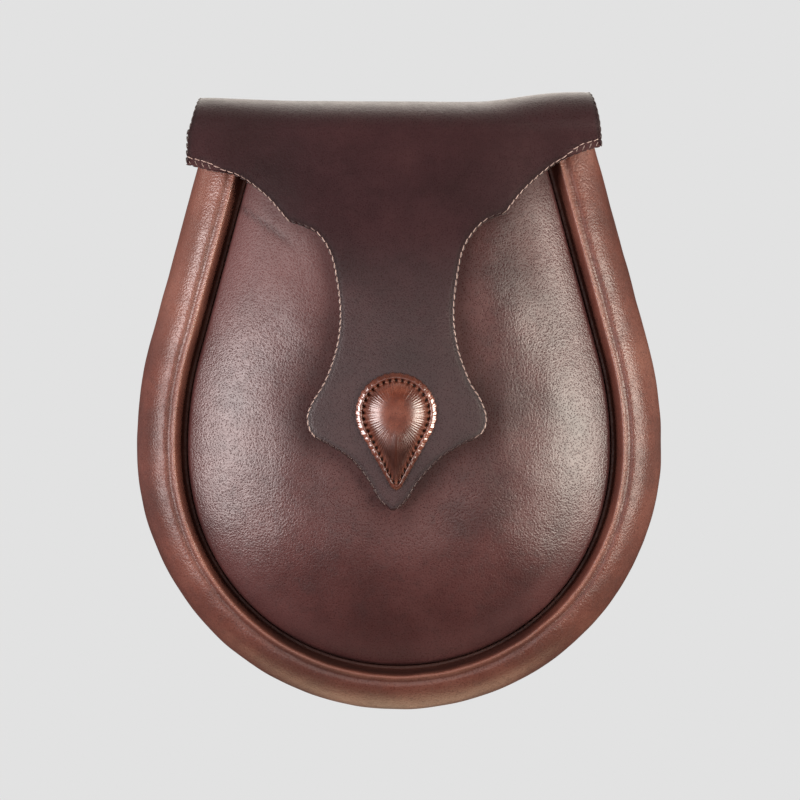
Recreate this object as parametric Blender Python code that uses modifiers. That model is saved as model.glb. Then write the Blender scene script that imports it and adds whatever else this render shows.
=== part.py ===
"""Leather day sporran: a stiff kilt pouch that lies on its back with its front up.

Lengths are in metres. +Z is up, +Y runs to the top of the pouch and +X to its right side.
The pieces are worked out round the centre of the bottom curve, and one empty then sets the
middle of the whole pouch over the origin, with its back on the plane z = 0.
A wide band of leather, the gusset, is moulded to a roll round the sides and bottom. It bulges
past the seams of the flat back panel and of the domed front panel, which both lie in grooves.
The flap comes up the back, folds over the mouth and ends in a waisted tab with a padded boss.
"""

import bpy
import numpy as np

MM = 0.001

# Outline of the roll at its widest reach, seen from the front
BOTTOM_RADIUS = 85.0 * MM
SIDE_RADIUS = 130.0 * MM
SIDE_LEAN = np.radians(15.2)
SIDE_RISE = 99.0 * MM

# Leather walls and the clearance between pieces
GUSSET_WALL = 2.0 * MM
PANEL_WALL = 2.2 * MM
BACK_WALL = 2.2 * MM
FLAP_WALL = 2.4 * MM
LOOP_WALL = 1.8 * MM
GAP = 0.3 * MM

# Section of the roll: insets are from its widest reach, and shrink to a share at the bottom
ROLL_DEPTH = 30.0 * MM
CROWN_INSET = 9.2 * MM
RIDGE_INSET = 12.0 * MM
FLANK_INSET = 13.5 * MM
PANEL_INSET = 16.8 * MM
BACK_SEAM_INSET = 15.0 * MM
BOTTOM_SQUEEZE = 0.87
VALLEY_DIP = 0.5 * MM
RIDGE_RISE = 0.3 * MM
GROOVE_DEPTH = 9.4 * MM
MOUTH_TAPER = 0.40
MOUTH_TAPER_LENGTH = 36.0 * MM
GROOVE_BEND = 2.0 * MM
BACK_BEND = 2.4 * MM
SEAM_FLANGE = 4.0 * MM
BACK_FLANGE = 6.0 * MM

# Domed front panel
DOME_CENTRE = 4.0 * MM
SHOULDER_DROP = 2.6 * MM
DOME_RISE = 17.0 * MM
MOUTH_ARCH = 0.8
DOME_POWER = 2.2
DOME_FULLNESS = 0.88

# Flap
FLAP_OVERHANG = 2.4 * MM
FLAP_SHIFT = -1.8 * MM
FLAP_DROP = 121.7 * MM
FOLD_START = 2.4 * MM
FOLD_REACH = 12.5 * MM
FOLD_TILT = np.radians(13.0)
FOLD_LIFT_LEFT = 1.3 * MM
FOLD_LIFT_RIGHT = 3.0 * MM
FOLD_WAIST = 0.92
FLAP_EASE = 3.0 * MM
FLAP_DROOP = 1.5 * MM
FLAP_BACK_WIDTH = 88.0 * MM
FLAP_BACK_LENGTH = 72.0 * MM

# Closure stud, hidden between the tab and the front panel
STUD_RADIUS = 6.0 * MM
STUD_HEIGHT = 1.5 * MM

# Padded boss on the tab, a teardrop
BOSS_RADIUS = 13.1 * MM
BOSS_LENGTH = 37.9 * MM
BOSS_RIM_WIDTH = 2.7 * MM
BOSS_RIM_HEIGHT = 1.9 * MM
BOSS_HEIGHT = 6.0 * MM
BOSS_TIP_SHARE = 0.947
BOSS_TIP_RADIUS = 2.0 * MM

# Strap loops on the back, for a strap up to 28 mm wide and 4 mm thick
LOOP_WIDTH = 18.0 * MM
LOOP_SPACING = 60.0 * MM
STRAP_WIDTH_ROOM = 30.0 * MM
STRAP_ROOM = 5.0 * MM
LOOP_RAMP = 4.0 * MM
LOOP_END = 9.0 * MM
LOOP_TOP_MARGIN = 6.0 * MM

# Faceting
BOTTOM_STEPS = 24
SIDE_STEPS = 4
STRAIGHT_STEPS = 4
MOUTH_STEPS = 10
FLAP_COLUMNS = 16
FLAP_SUBSTEPS = 2
FOLD_STEPS = 9
BOSS_STEPS = 32

BACK_PLANE = LOOP_WALL + STRAP_ROOM + FLAP_WALL + GAP
SHOULDER = ROLL_DEPTH - SHOULDER_DROP
GROOVE_FLOOR = ROLL_DEPTH - GROOVE_DEPTH
DOME_TOP = SHOULDER + DOME_RISE

# Front outline of the flap below the fold. Reaches are shares of the half width of the flap,
# drops are shares of FLAP_DROP, and a sharp station starts a new curve.
FLAP_OUTLINE = [
    # station, left reach, left drop, right reach, right drop, sharp
    ("fold end", 1.000, 0.000, 0.996, 0.000, True),
    ("corner", 1.004, 0.084, 1.003, 0.035, True),
    ("brim", 0.882, 0.101, 0.895, 0.055, False),
    ("wing", 0.752, 0.117, 0.771, 0.088, False),
    ("wing low", 0.613, 0.170, 0.626, 0.155, False),
    ("notch", 0.505, 0.236, 0.535, 0.216, True),
    ("shoulder", 0.433, 0.250, 0.457, 0.232, False),
    ("shoulder bend", 0.367, 0.270, 0.397, 0.260, False),
    ("shoulder low", 0.316, 0.310, 0.346, 0.302, False),
    ("neck top", 0.286, 0.361, 0.318, 0.357, False),
    ("neck", 0.259, 0.472, 0.294, 0.468, False),
    ("neck low", 0.274, 0.565, 0.309, 0.562, False),
    ("tab flare", 0.328, 0.654, 0.366, 0.655, False),
    ("tab side", 0.395, 0.717, 0.423, 0.708, False),
    ("tab corner", 0.417, 0.759, 0.450, 0.760, False),
    ("tab under", 0.390, 0.802, 0.422, 0.800, False),
    ("ogee", 0.304, 0.829, 0.326, 0.828, False),
    ("ogee low", 0.199, 0.868, 0.220, 0.866, False),
    ("tip side", 0.117, 0.925, 0.122, 0.924, False),
    ("tip bend", 0.068, 0.972, 0.066, 0.972, False),
    ("tip", 0.012, 1.000, 0.012, 1.000, True),
]


def smooth_step(value):
    """Runs from 0 to 1 with level ends, for values from 0 to 1."""
    t = np.clip(value, 0.0, 1.0)
    return t * t * (3.0 - 2.0 * t)


def right_half_stations():
    """Points and outward normals of the outline from the bottom up the right side."""
    bottom = np.radians(np.linspace(-90.0, 0.0, BOTTOM_STEPS // 2 + 1))
    side = np.linspace(0.0, SIDE_LEAN, SIDE_STEPS + 1)[1:]
    normals = np.array([(np.cos(a), np.sin(a)) for a in (*bottom, *side)])
    points = BOTTOM_RADIUS * normals
    arc = normals[len(bottom):]
    points[len(bottom):] = (BOTTOM_RADIUS - SIDE_RADIUS, 0.0) + SIDE_RADIUS * arc
    length = (SIDE_RISE - points[-1, 1]) / np.cos(SIDE_LEAN)
    along = np.array([(-np.sin(SIDE_LEAN), np.cos(SIDE_LEAN))])
    steps = np.linspace(0.0, length, STRAIGHT_STEPS + 1)[1:, None]
    points = np.vstack([points, points[-1] + steps * along])
    normals = np.vstack([normals, np.repeat(normals[-1:], STRAIGHT_STEPS, axis=0)])
    return points, normals


def rim_stations():
    """The whole outline, from the left top round the bottom to the right top."""
    points, normals = right_half_stations()
    flip = np.array([-1.0, 1.0])
    return (
        np.vstack([points[:0:-1] * flip, points]),
        np.vstack([normals[:0:-1] * flip, normals]),
    )


def half_width(y):
    """Half the width of the outline at heights y above the widest line."""
    points, _ = right_half_stations()
    lean = np.tan(SIDE_LEAN)
    above = points[-1, 0] - (y - points[-1, 1]) * lean
    return np.where(y > points[-1, 1], above, np.interp(y, points[:, 1], points[:, 0]))


def squeeze(normals):
    """Share of the insets at each station: 1 on the sides and less at the bottom."""
    return BOTTOM_SQUEEZE + (1.0 - BOTTOM_SQUEEZE) * smooth_step(1.0 + normals[:, 1])


def roll_height(z, y):
    """Height of a point of the roll: above the groove floor it sinks towards the mouth."""
    along = np.clip(1.0 - (SIDE_RISE - y) / MOUTH_TAPER_LENGTH, 0.0, 1.0)
    above = np.maximum(0.0, z - GROOVE_FLOOR)
    return z - above * MOUTH_TAPER * along**2


def inset_outline(inset, clearance=0.0):
    """The outline moved inwards by a squeezed inset and then by a clearance."""
    points, normals = rim_stations()
    return points - normals * (inset * squeeze(normals) + clearance)[:, None]


def arc(centre, radii, start, end, steps):
    """Points of part of an ellipse, as (inset, height) pairs, with angles in degrees."""
    angles = np.radians(np.linspace(start, end, steps + 1))
    return [
        (centre[0] + radii[0] * np.cos(a), centre[1] + radii[1] * np.sin(a)) for a in angles
    ]


def gusset_section(share):
    """Closed section of the roll as (inset, height) pairs, for one share of the insets."""
    crown = CROWN_INSET * share
    ridge = RIDGE_INSET * share
    flank = FLANK_INSET * share
    seam = BACK_SEAM_INSET * share
    panel = PANEL_INSET * share - GAP
    middle = ROLL_DEPTH / 2
    flange = BACK_PLANE + BACK_WALL + GAP
    wall = GUSSET_WALL
    outer = [(seam + BACK_FLANGE, flange), (seam, flange)]
    outer += arc((seam - BACK_BEND, BACK_BEND), (BACK_BEND, BACK_BEND), 0, -90, 3)
    outer += arc((crown, middle), (crown, middle), 270, 90, 12)
    valley = (crown + ridge) / 2
    outer += [(valley, ROLL_DEPTH - VALLEY_DIP), (ridge, ROLL_DEPTH + RIDGE_RISE)]
    half_flank = (ridge + flank) / 2
    outer += [(half_flank, ROLL_DEPTH - VALLEY_DIP), (flank, ROLL_DEPTH - 2 * GROOVE_BEND)]
    bend = (flank + GROOVE_BEND, GROOVE_FLOOR + GROOVE_BEND)
    outer += arc(bend, (GROOVE_BEND, GROOVE_BEND), 180, 270, 3)
    outer += [(panel, GROOVE_FLOOR), (panel, GROOVE_FLOOR - SEAM_FLANGE)]
    floor = GROOVE_FLOOR - wall
    inner = [(panel - wall, GROOVE_FLOOR - SEAM_FLANGE), (panel - wall, floor)]
    inner += [(flank - wall + GROOVE_BEND, floor), (flank - wall, floor + GROOVE_BEND)]
    inner += [(flank - wall, ROLL_DEPTH - 2 * GROOVE_BEND)]
    inner += arc((crown, middle), (crown - wall, middle - wall), 90, 270, 8)
    inner += [(seam - wall, wall), (seam - wall, flange + wall)]
    inner += [(seam + BACK_FLANGE, flange + wall)]
    return np.array(outer + inner)


def shaded(obj, colour, roughness, metallic=0.0):
    """Gives an object its own material."""
    material = bpy.data.materials.new(obj.name + "_finish")
    material.use_nodes = True
    shader = material.node_tree.nodes["Principled BSDF"]
    shader.inputs["Base Color"].default_value = (*colour, 1.0)
    shader.inputs["Roughness"].default_value = roughness
    shader.inputs["Metallic"].default_value = metallic
    obj.data.materials.append(material)
    return obj


def add_object(name, data, collection, carrier):
    """Links a new object to the model and hangs it on the carrier."""
    obj = bpy.data.objects.new(name, data)
    collection.objects.link(obj)
    obj.parent = carrier
    return obj


def mesh_from(name, vertices, faces):
    """A smooth shaded mesh from points and faces that a loft has worked out."""
    mesh = bpy.data.meshes.new(name)
    mesh.from_pydata(np.asarray(vertices).tolist(), [], faces)
    mesh.validate()
    mesh.shade_smooth()
    mesh.set_sharp_from_angle(angle=np.radians(40.0))
    return mesh


def grid_faces(rows, columns, closed=False):
    """Quads of a grid of points, closed round the columns if asked."""
    last = columns if closed else columns - 1
    faces = []
    for row in range(rows - 1):
        for column in range(last):
            right = (column + 1) % columns
            here, above = row * columns, (row + 1) * columns
            faces.append((here + column, here + right, above + right, above + column))
    return faces


def thicken(obj, wall, outwards):
    """Turns an open leather surface into a wall."""
    solid = obj.modifiers.new("wall", "SOLIDIFY")
    solid.thickness = wall
    solid.offset = 1.0 if outwards else -1.0
    solid.use_even_offset = True
    return obj


def make_gusset(collection, carrier):
    """The moulded roll, a section carried along the outline."""
    points, normals = rim_stations()
    rings = []
    for point, normal, share in zip(points, normals, squeeze(normals)):
        section = gusset_section(share)
        flat = point - normal * section[:, :1]
        rings.append(np.column_stack([flat, roll_height(section[:, 1], point[1])]))
    count = len(rings[0])
    faces = [face[::-1] for face in grid_faces(len(rings), count, closed=True)]
    first = tuple(range(count))
    last = tuple(range((len(rings) - 1) * count, len(rings) * count))
    faces += [first, last[::-1]]
    mesh = mesh_from("gusset", np.vstack(rings), faces)
    return shaded(add_object("gusset", mesh, collection, carrier), (0.15, 0.065, 0.045), 0.42)


def panel_edge():
    """Edge of the front panel and the number of its seam points: round the seam, then the mouth."""
    seam = inset_outline(PANEL_INSET)
    mouth = np.linspace(seam[-1], seam[0], MOUTH_STEPS + 1)[1:-1]
    return np.vstack([seam, mouth]), len(seam)


def dome_outline():
    """Line at which the dome runs out: the seam, closed by an elliptic arch above the mouth."""
    seam = inset_outline(PANEL_INSET)
    start = np.arctan(MOUTH_ARCH * np.tan(SIDE_LEAN))
    across = seam[-1, 0] / np.cos(start)
    up = MOUTH_ARCH * across
    angles = np.linspace(start, np.pi - start, MOUTH_STEPS + 1)[1:-1, None]
    middle = np.array([0.0, seam[-1, 1] - up * np.sin(start)])
    arch = middle + np.hstack([across * np.cos(angles), up * np.sin(angles)])
    return np.vstack([seam, arch])


def dome_profile(share):
    """Height of the dome as a share of its rise, from 1 at the centre to 0 at the edge."""
    return (1.0 - np.clip(share, 0.0, 1.0) ** DOME_POWER) ** DOME_FULLNESS


def dome_height(x, y):
    """Outer height of the front panel at points (x, y), level beyond the seam."""
    from_centre = dome_outline() - (0.0, DOME_CENTRE)
    angles = np.arctan2(from_centre[:, 0], from_centre[:, 1])
    order = np.argsort(angles)
    reach = np.hypot(from_centre[:, 0], from_centre[:, 1])[order]
    angle = np.arctan2(x, y - DOME_CENTRE)
    out = np.interp(angle, angles[order], reach, period=2 * np.pi)
    return SHOULDER + DOME_RISE * dome_profile(np.hypot(x, y - DOME_CENTRE) / out)


def make_front_panel(collection, carrier):
    """The domed front: rings from its centre to its edge, and a skirt down into the groove."""
    edge, seam_count = panel_edge()
    centre = np.array([0.0, DOME_CENTRE])
    shares = (0.0, 0.2, 0.38, 0.54, 0.68, 0.79, 0.88, 0.94, 0.975, 1.0)
    rings = [np.array([[*centre, DOME_TOP]])]
    for share in shares[1:]:
        flat = centre + (edge - centre) * share
        rings.append(np.column_stack([flat, dome_height(flat[:, 0], flat[:, 1])]))
    count = len(edge)
    faces = [(0, 1 + i, 1 + (i + 1) % count) for i in range(count)]
    rows = len(shares) - 1
    faces += [tuple(1 + v for v in face[::-1]) for face in grid_faces(rows, count, closed=True)]
    hem = np.column_stack([edge[:seam_count], np.full(seam_count, GROOVE_FLOOR - SEAM_FLANGE)])
    rings.append(hem)
    outer_ring = 1 + (rows - 1) * count
    skirt = outer_ring + count
    for i in range(seam_count - 1):
        faces.append((outer_ring + i, skirt + i, skirt + i + 1, outer_ring + i + 1))
    mesh = mesh_from("front_panel", np.vstack(rings), faces)
    panel = add_object("front_panel", mesh, collection, carrier)
    thicken(panel, PANEL_WALL, outwards=False)
    return shaded(panel, (0.055, 0.025, 0.022), 0.48)


def make_back_panel(collection, carrier):
    """The flat back, a filled outline that lies on the inner flange of the gusset."""
    outline = inset_outline(BACK_SEAM_INSET, GAP)
    curve = bpy.data.curves.new("back_panel", "CURVE")
    curve.dimensions = "2D"
    curve.fill_mode = "BOTH"
    curve.extrude = BACK_WALL / 2
    spline = curve.splines.new("POLY")
    spline.points.add(len(outline) - 1)
    spline.points.foreach_set("co", np.column_stack([outline, np.zeros((len(outline), 1)),
                                                     np.ones((len(outline), 1))]).ravel())
    spline.use_cyclic_u = True
    back = add_object("back_panel", curve, collection, carrier)
    back.location.z = BACK_PLANE + BACK_WALL / 2
    return shaded(back, (0.06, 0.028, 0.024), 0.5)


def stud_centre():
    """Place of the closure stud, in the middle of the round end of the boss."""
    return np.array([boss_shift(), boss_middle()])


def boss_shift():
    """Sideways place of the boss, on the middle line of the tab."""
    return FLAP_SHIFT / 2


def boss_middle():
    """Height of the centre of the round end of the boss."""
    tip = flap_top() - FLAP_DROP * BOSS_TIP_SHARE
    return tip + BOSS_LENGTH - BOSS_RADIUS


def flap_top():
    """Height at which the fold of the flap ends and its front starts."""
    return SIDE_RISE + FOLD_START


def flap_half_width():
    """Half the width of the flap at its lower corners."""
    return float(half_width(np.array(flap_top() - 0.06 * FLAP_DROP))) + FLAP_OVERHANG


def stud_lift(y):
    """Rise of the tab over the closure stud: none at the shoulders, and less again at the tip."""
    start = boss_middle() + 4 * BOSS_RADIUS
    end = boss_middle() + STUD_RADIUS
    tip = flap_top() - FLAP_DROP
    rise = smooth_step((start - y) / (start - end))
    fall = smooth_step((boss_middle() - STUD_RADIUS - y) / (boss_middle() - STUD_RADIUS - tip))
    return (STUD_HEIGHT + GAP) * (rise - 0.6 * fall)


def flap_seat(x, y):
    """Height of the underside of the flap over the roll and the dome."""
    crown = roll_height(ROLL_DEPTH + RIDGE_RISE, y - CROWN_INSET)
    dome = dome_height(x, y)
    seat = (dome + crown) / 2 + np.hypot(dome - crown, FLAP_EASE) / 2
    past_crown = np.maximum(0.0, np.abs(x) - (half_width(y) - CROWN_INSET)) / CROWN_INSET
    return seat + GAP - FLAP_DROOP * past_crown**2 + stud_lift(y)


def curve_through(values, substeps):
    """Smooth curve through a column of values, as a Catmull-Rom curve with free ends."""
    first = 2 * values[0] - values[1]
    last = 2 * values[-1] - values[-2]
    padded = np.concatenate([[first], values, [last]])
    result = []
    for i in range(len(values) - 1):
        a, b, c, d = padded[i:i + 4]
        for t in np.arange(substeps) / substeps:
            result.append(0.5 * (2 * b + (c - a) * t + (2 * a - 5 * b + 4 * c - d) * t**2
                                 + (3 * b - a - 3 * c + d) * t**3))
    return result + [values[-1]]


def flap_front_edges():
    """Left and right edge of the front of the flap, as rows of (left x, left y, right x, right y)."""
    half = flap_half_width()
    top = flap_top()
    table = np.array([row[1:5] for row in FLAP_OUTLINE])
    left_x, right_x = FLAP_SHIFT - half * table[:, 0], FLAP_SHIFT + half * table[:, 2]
    left_y, right_y = top - FLAP_DROP * table[:, 1], top - FLAP_DROP * table[:, 3]
    columns = np.column_stack([left_x, left_y, right_x, right_y])
    sharp = [i for i, row in enumerate(FLAP_OUTLINE) if row[5]]
    rows = []
    for start, end in zip(sharp[:-1], sharp[1:]):
        piece = columns[start:end + 1]
        curves = [curve_through(piece[:, i], FLAP_SUBSTEPS) for i in range(4)]
        rows += list(np.column_stack(curves))[: -1]
    return np.array(rows + [columns[-1]])


def fold_lift(across):
    """Extra reach of the fold towards its two ends, for places from -1 on the left to 1."""
    ends = smooth_step((np.abs(across) - 0.35) / 0.5)
    return ends * np.where(across < 0, FOLD_LIFT_LEFT, FOLD_LIFT_RIGHT)


def flap_rows():
    """Rows of points on the underside of the flap, from the hem on the back to the tip."""
    across = np.linspace(-1.0, 1.0, FLAP_COLUMNS + 1)
    share = (across + 1.0) / 2
    back = BACK_PLANE - GAP
    top = flap_top()
    edges = flap_front_edges()
    rows = []
    for y in np.linspace(SIDE_RISE - FLAP_BACK_LENGTH, SIDE_RISE, 5):
        x = across * FLAP_BACK_WIDTH / 2
        rows.append(np.column_stack([x, np.full_like(x, y), np.full_like(x, back)]))
    left, right = edges[0, 0], edges[0, 2]
    wide_x = left + (right - left) * share
    front = flap_seat(wide_x, np.full_like(wide_x, top))
    last = np.pi - FOLD_TILT
    for angle in np.linspace(0.0, last, FOLD_STEPS + 1)[:-1]:
        turned = (1.0 - np.cos(angle)) / (1.0 - np.cos(last))
        width = 1.0 - (1.0 - FOLD_WAIST) * np.sqrt(1.0 - turned)
        x = FLAP_SHIFT + (wide_x - FLAP_SHIFT) * width
        reach = FOLD_REACH - FLAP_WALL + fold_lift(across)
        begin = SIDE_RISE + 4 * GAP
        start = begin + (top - reach * np.sin(last) - begin) * angle / last
        y = start + reach * np.sin(angle)
        rows.append(np.column_stack([x, y, back + (front - back) * turned]))
    for left_x, left_y, right_x, right_y in edges:
        x = left_x + (right_x - left_x) * share
        y = left_y + (right_y - left_y) * share
        rows.append(np.column_stack([x, y, flap_seat(x, y)]))
    return rows


def make_flap(collection, carrier):
    """The flap, one leather surface from the back over the mouth to the tab."""
    rows = flap_rows()
    faces = grid_faces(len(rows), FLAP_COLUMNS + 1)
    mesh = mesh_from("flap", np.vstack(rows), [face[::-1] for face in faces])
    flap = add_object("flap", mesh, collection, carrier)
    thicken(flap, FLAP_WALL, outwards=True)
    return shaded(flap, (0.04, 0.02, 0.02), 0.45)


def boss_outline():
    """Teardrop round the boss: a circle, two tangents and a small rounded tip."""
    centre_to_tip = BOSS_LENGTH - BOSS_RADIUS - BOSS_TIP_RADIUS
    flare = np.arcsin((BOSS_RADIUS - BOSS_TIP_RADIUS) / centre_to_tip)
    round_end = np.linspace(-flare, np.pi + flare, BOSS_STEPS * 3 // 4 + 1)
    tip_end = np.linspace(np.pi + flare, 2 * np.pi - flare, BOSS_STEPS // 4 + 1)
    circle = BOSS_RADIUS * np.column_stack([np.cos(round_end), np.sin(round_end)])
    tip = BOSS_TIP_RADIUS * np.column_stack([np.cos(tip_end), np.sin(tip_end)])
    tip = tip - (0.0, centre_to_tip)
    side = np.linspace(circle[-1], tip[0], 4)[1:-1]
    return np.vstack([circle, side, tip, side[::-1] * (-1.0, 1.0)])


def make_boss(collection, carrier):
    """The padded teardrop: a low rim, a stitched channel and a raised middle."""
    outline = boss_outline()
    centre = stud_centre()
    channel = 1.0 - BOSS_RIM_WIDTH / BOSS_RADIUS
    rim_middle = (1.0 + channel) / 2
    floor = BOSS_RIM_HEIGHT / 2
    profile = [(1.0, 0.0), (1.0, floor), (rim_middle, BOSS_RIM_HEIGHT), (channel, floor)]
    for share in (0.86, 0.64, 0.38, 0.0):
        puff = np.sqrt(1.0 - share**2)
        profile.append((channel * share, floor + (BOSS_HEIGHT - floor) * puff))
    profile = [(0.0, 0.0), (0.5, 0.0), *profile]
    rings = []
    for share, height in profile:
        flat = centre + outline * share if share > 0 else centre[None, :]
        base = flap_seat(flat[:, 0], flat[:, 1]) + FLAP_WALL + GAP
        rings.append(np.column_stack([flat, base + height]))
    count = len(outline)
    last = 1 + (len(profile) - 2) * count
    faces = [(0, 1 + (i + 1) % count, 1 + i) for i in range(count)]
    inner = grid_faces(len(profile) - 2, count, closed=True)
    faces += [tuple(1 + v for v in face) for face in inner]
    faces += [(last - count + i, last - count + (i + 1) % count, last) for i in range(count)]
    mesh = mesh_from("tab_boss", np.vstack(rings), faces)
    return shaded(add_object("tab_boss", mesh, collection, carrier), (0.18, 0.065, 0.04), 0.3)


def make_stud(collection, carrier):
    """The closure stud, one plain disc between the tab and the front panel."""
    x, y = stud_centre()
    seat = float(dome_height(np.array(x), np.array(y)))
    bpy.ops.mesh.primitive_cylinder_add(vertices=20, radius=STUD_RADIUS, depth=STUD_HEIGHT)
    stud = bpy.context.object
    stud.name = "closure_stud"
    for owner in list(stud.users_collection):
        owner.objects.unlink(stud)
    collection.objects.link(stud)
    stud.parent = carrier
    stud.location = (x, y, seat + GAP + STUD_HEIGHT / 2)
    return shaded(stud, (0.6, 0.45, 0.2), 0.3, metallic=1.0)


def make_strap_loop(name, side, collection, carrier):
    """A leather strip sewn down at both ends, with room behind it for the strap."""
    top = SIDE_RISE - LOOP_TOP_MARGIN
    high = BACK_PLANE - GAP - FLAP_WALL - GAP - LOOP_WALL
    low = 0.0
    steps = [LOOP_END, LOOP_RAMP, STRAP_WIDTH_ROOM, LOOP_RAMP, LOOP_END]
    heights = [high, high, low, low, high, high]
    places = top - np.concatenate([[0.0], np.cumsum(steps)])
    x = side * LOOP_SPACING / 2
    half = LOOP_WIDTH / 2
    rows = [[(x - half, y, z), (x + half, y, z)] for y, z in zip(places, heights)]
    mesh = mesh_from(name, np.array(rows).reshape(-1, 3), grid_faces(len(rows), 2))
    loop = add_object(name, mesh, collection, carrier)
    thicken(loop, LOOP_WALL, outwards=False)
    return shaded(loop, (0.06, 0.028, 0.024), 0.5)


def clear_scene():
    """Removes whatever the open file holds."""
    for obj in list(bpy.data.objects):
        bpy.data.objects.remove(obj)


def main():
    """Builds every piece and hangs it on one empty that centres the pouch."""
    clear_scene()
    collection = bpy.data.collections.new("sporran_pouch")
    bpy.context.scene.collection.children.link(collection)
    carrier = bpy.data.objects.new("pouch_centre", None)
    collection.objects.link(carrier)
    highest = max(row[:, 1].max() for row in flap_rows()) + FLAP_WALL
    carrier.location.y = (BOTTOM_RADIUS - highest) / 2
    make_gusset(collection, carrier)
    make_front_panel(collection, carrier)
    make_back_panel(collection, carrier)
    make_flap(collection, carrier)
    make_boss(collection, carrier)
    make_stud(collection, carrier)
    make_strap_loop("strap_loop_left", -1.0, collection, carrier)
    make_strap_loop("strap_loop_right", 1.0, collection, carrier)


main()
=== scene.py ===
"""Looks of a leather day sporran that lies on its back, seen straight from the front.

The pouch is hand-moulded leather: a chestnut roll round the sides and bottom, a domed dark
brown front, a dark flap that folds over the mouth and ends in a waisted tab, and a padded
teardrop boss on the tab. Lengths are in metres. +Z comes out of the front and +Y runs up.
"""

import logging
from dataclasses import dataclass, field
from enum import Enum

import bmesh
import bpy
import numpy as np
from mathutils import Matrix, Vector


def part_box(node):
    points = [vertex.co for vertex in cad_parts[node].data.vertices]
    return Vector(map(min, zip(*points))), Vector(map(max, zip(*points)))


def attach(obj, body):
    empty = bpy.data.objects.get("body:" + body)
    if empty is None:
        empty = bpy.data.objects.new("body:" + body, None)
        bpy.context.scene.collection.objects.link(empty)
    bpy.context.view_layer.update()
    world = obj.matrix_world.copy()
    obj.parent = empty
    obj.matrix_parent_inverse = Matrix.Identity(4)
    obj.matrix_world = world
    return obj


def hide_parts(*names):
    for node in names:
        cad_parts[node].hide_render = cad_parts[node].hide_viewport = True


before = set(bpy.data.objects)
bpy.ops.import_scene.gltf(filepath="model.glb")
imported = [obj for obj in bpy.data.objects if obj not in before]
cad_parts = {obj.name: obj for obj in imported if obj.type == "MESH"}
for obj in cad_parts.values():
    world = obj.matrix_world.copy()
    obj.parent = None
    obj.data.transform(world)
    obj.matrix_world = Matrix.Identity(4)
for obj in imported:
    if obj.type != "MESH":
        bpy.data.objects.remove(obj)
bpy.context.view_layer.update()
MM = 0.001
LOG = logging.getLogger("sporran")

Array = np.ndarray
Tree = bpy.types.NodeTree
Socket = bpy.types.NodeSocket


# Small helpers for curves, grids and nodes


def linear(hexcode: str) -> tuple[float, float, float, float]:
    """Turns an sRGB hex colour to the linear values that a shader takes.

    Args:
        hexcode: Six hex digits, red first.

    Returns:
        Linear red, green and blue, and an alpha of 1.
    """
    srgb = np.array([int(hexcode[i : i + 2], 16) for i in (0, 2, 4)]) / 255.0
    low, high = srgb / 12.92, ((srgb + 0.055) / 1.055) ** 2.4
    red, green, blue = np.where(srgb <= 0.04045, low, high)
    return float(red), float(green), float(blue), 1.0


def add_node(
    tree: Tree, kind: str, inputs: dict | None = None, **settings: object
) -> bpy.types.Node:
    """Adds a shader node with its settings, values and links.

    Args:
        tree: Node tree that takes the node.
        kind: Node type, such as ShaderNodeBump.
        inputs: Socket name or number to a value, or to the output socket linked to it.
        **settings: Properties of the node itself.

    Returns:
        The new node.
    """
    node = tree.nodes.new(kind)
    for name, value in settings.items():
        setattr(node, name, value)
    for socket, value in (inputs or {}).items():
        if isinstance(value, Socket):
            tree.links.new(value, node.inputs[socket])
        else:
            node.inputs[socket].default_value = value
    return node


def new_material(name: str) -> tuple[bpy.types.Material, Tree, bpy.types.Node]:
    """Starts a node material.

    Args:
        name: Name of the material.

    Returns:
        The material, its node tree and its Principled shader.
    """
    made = bpy.data.materials.new(name)
    made.use_nodes = True
    return made, made.node_tree, made.node_tree.nodes["Principled BSDF"]


def smooth_step(value: Array) -> Array:
    """Runs from 0 to 1 with level ends: 3t squared less 2t cubed, with t held to 0..1."""
    t = np.clip(value, 0.0, 1.0)
    return t * t * (3.0 - 2.0 * t)


def bell(value: Array, centre: float, width: float) -> Array:
    """A smooth hill of height 1 at centre: e to the minus square of the distance over width."""
    return np.exp(-(((value - centre) / width) ** 2))


def arc(centre: tuple, radii: tuple, start: float, end: float, steps: int) -> Array:
    """Part of an ellipse: centre plus radii times the cosine and sine of an even run of angles.

    Args:
        centre: Middle of the ellipse.
        radii: Its two half axes.
        start: First angle in degrees.
        end: Last angle in degrees.
        steps: Number of equal steps between them.

    Returns:
        Points, one row each.
    """
    angle = np.radians(np.linspace(start, end, steps + 1))
    return np.asarray(centre) + np.column_stack([np.cos(angle), np.sin(angle)]) * radii


def unit(vectors: Array) -> Array:
    """Each row divided by its length."""
    return vectors / np.linalg.norm(vectors, axis=1, keepdims=True)


def arc_length(line: Array) -> Array:
    """Running sum of the steps along a polyline, from 0."""
    return np.concatenate([[0.0], np.cumsum(np.linalg.norm(np.diff(line, axis=0), axis=1))])


def resampled(points: Array, spacing: float, closed: bool = False) -> tuple[Array, Array]:
    """Points at even arc lengths along a polyline, each found by linear interpolation.

    Args:
        points: Polyline, one point a row.
        spacing: Wanted distance between new points.
        closed: Whether the last point joins the first.

    Returns:
        The new points, and the position of each along the old rows as a fraction.
    """
    line = np.vstack([points, points[:1]]) if closed else points
    length = arc_length(line)
    count = max(2, int(round(length[-1] / spacing)))
    wanted = np.linspace(0.0, length[-1], count + 1)[: -1 if closed else None]
    row = np.interp(wanted, length, np.arange(len(line)))
    columns = [np.interp(row, np.arange(len(line)), line[:, i]) for i in range(line.shape[1])]
    return np.column_stack(columns), row


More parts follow.
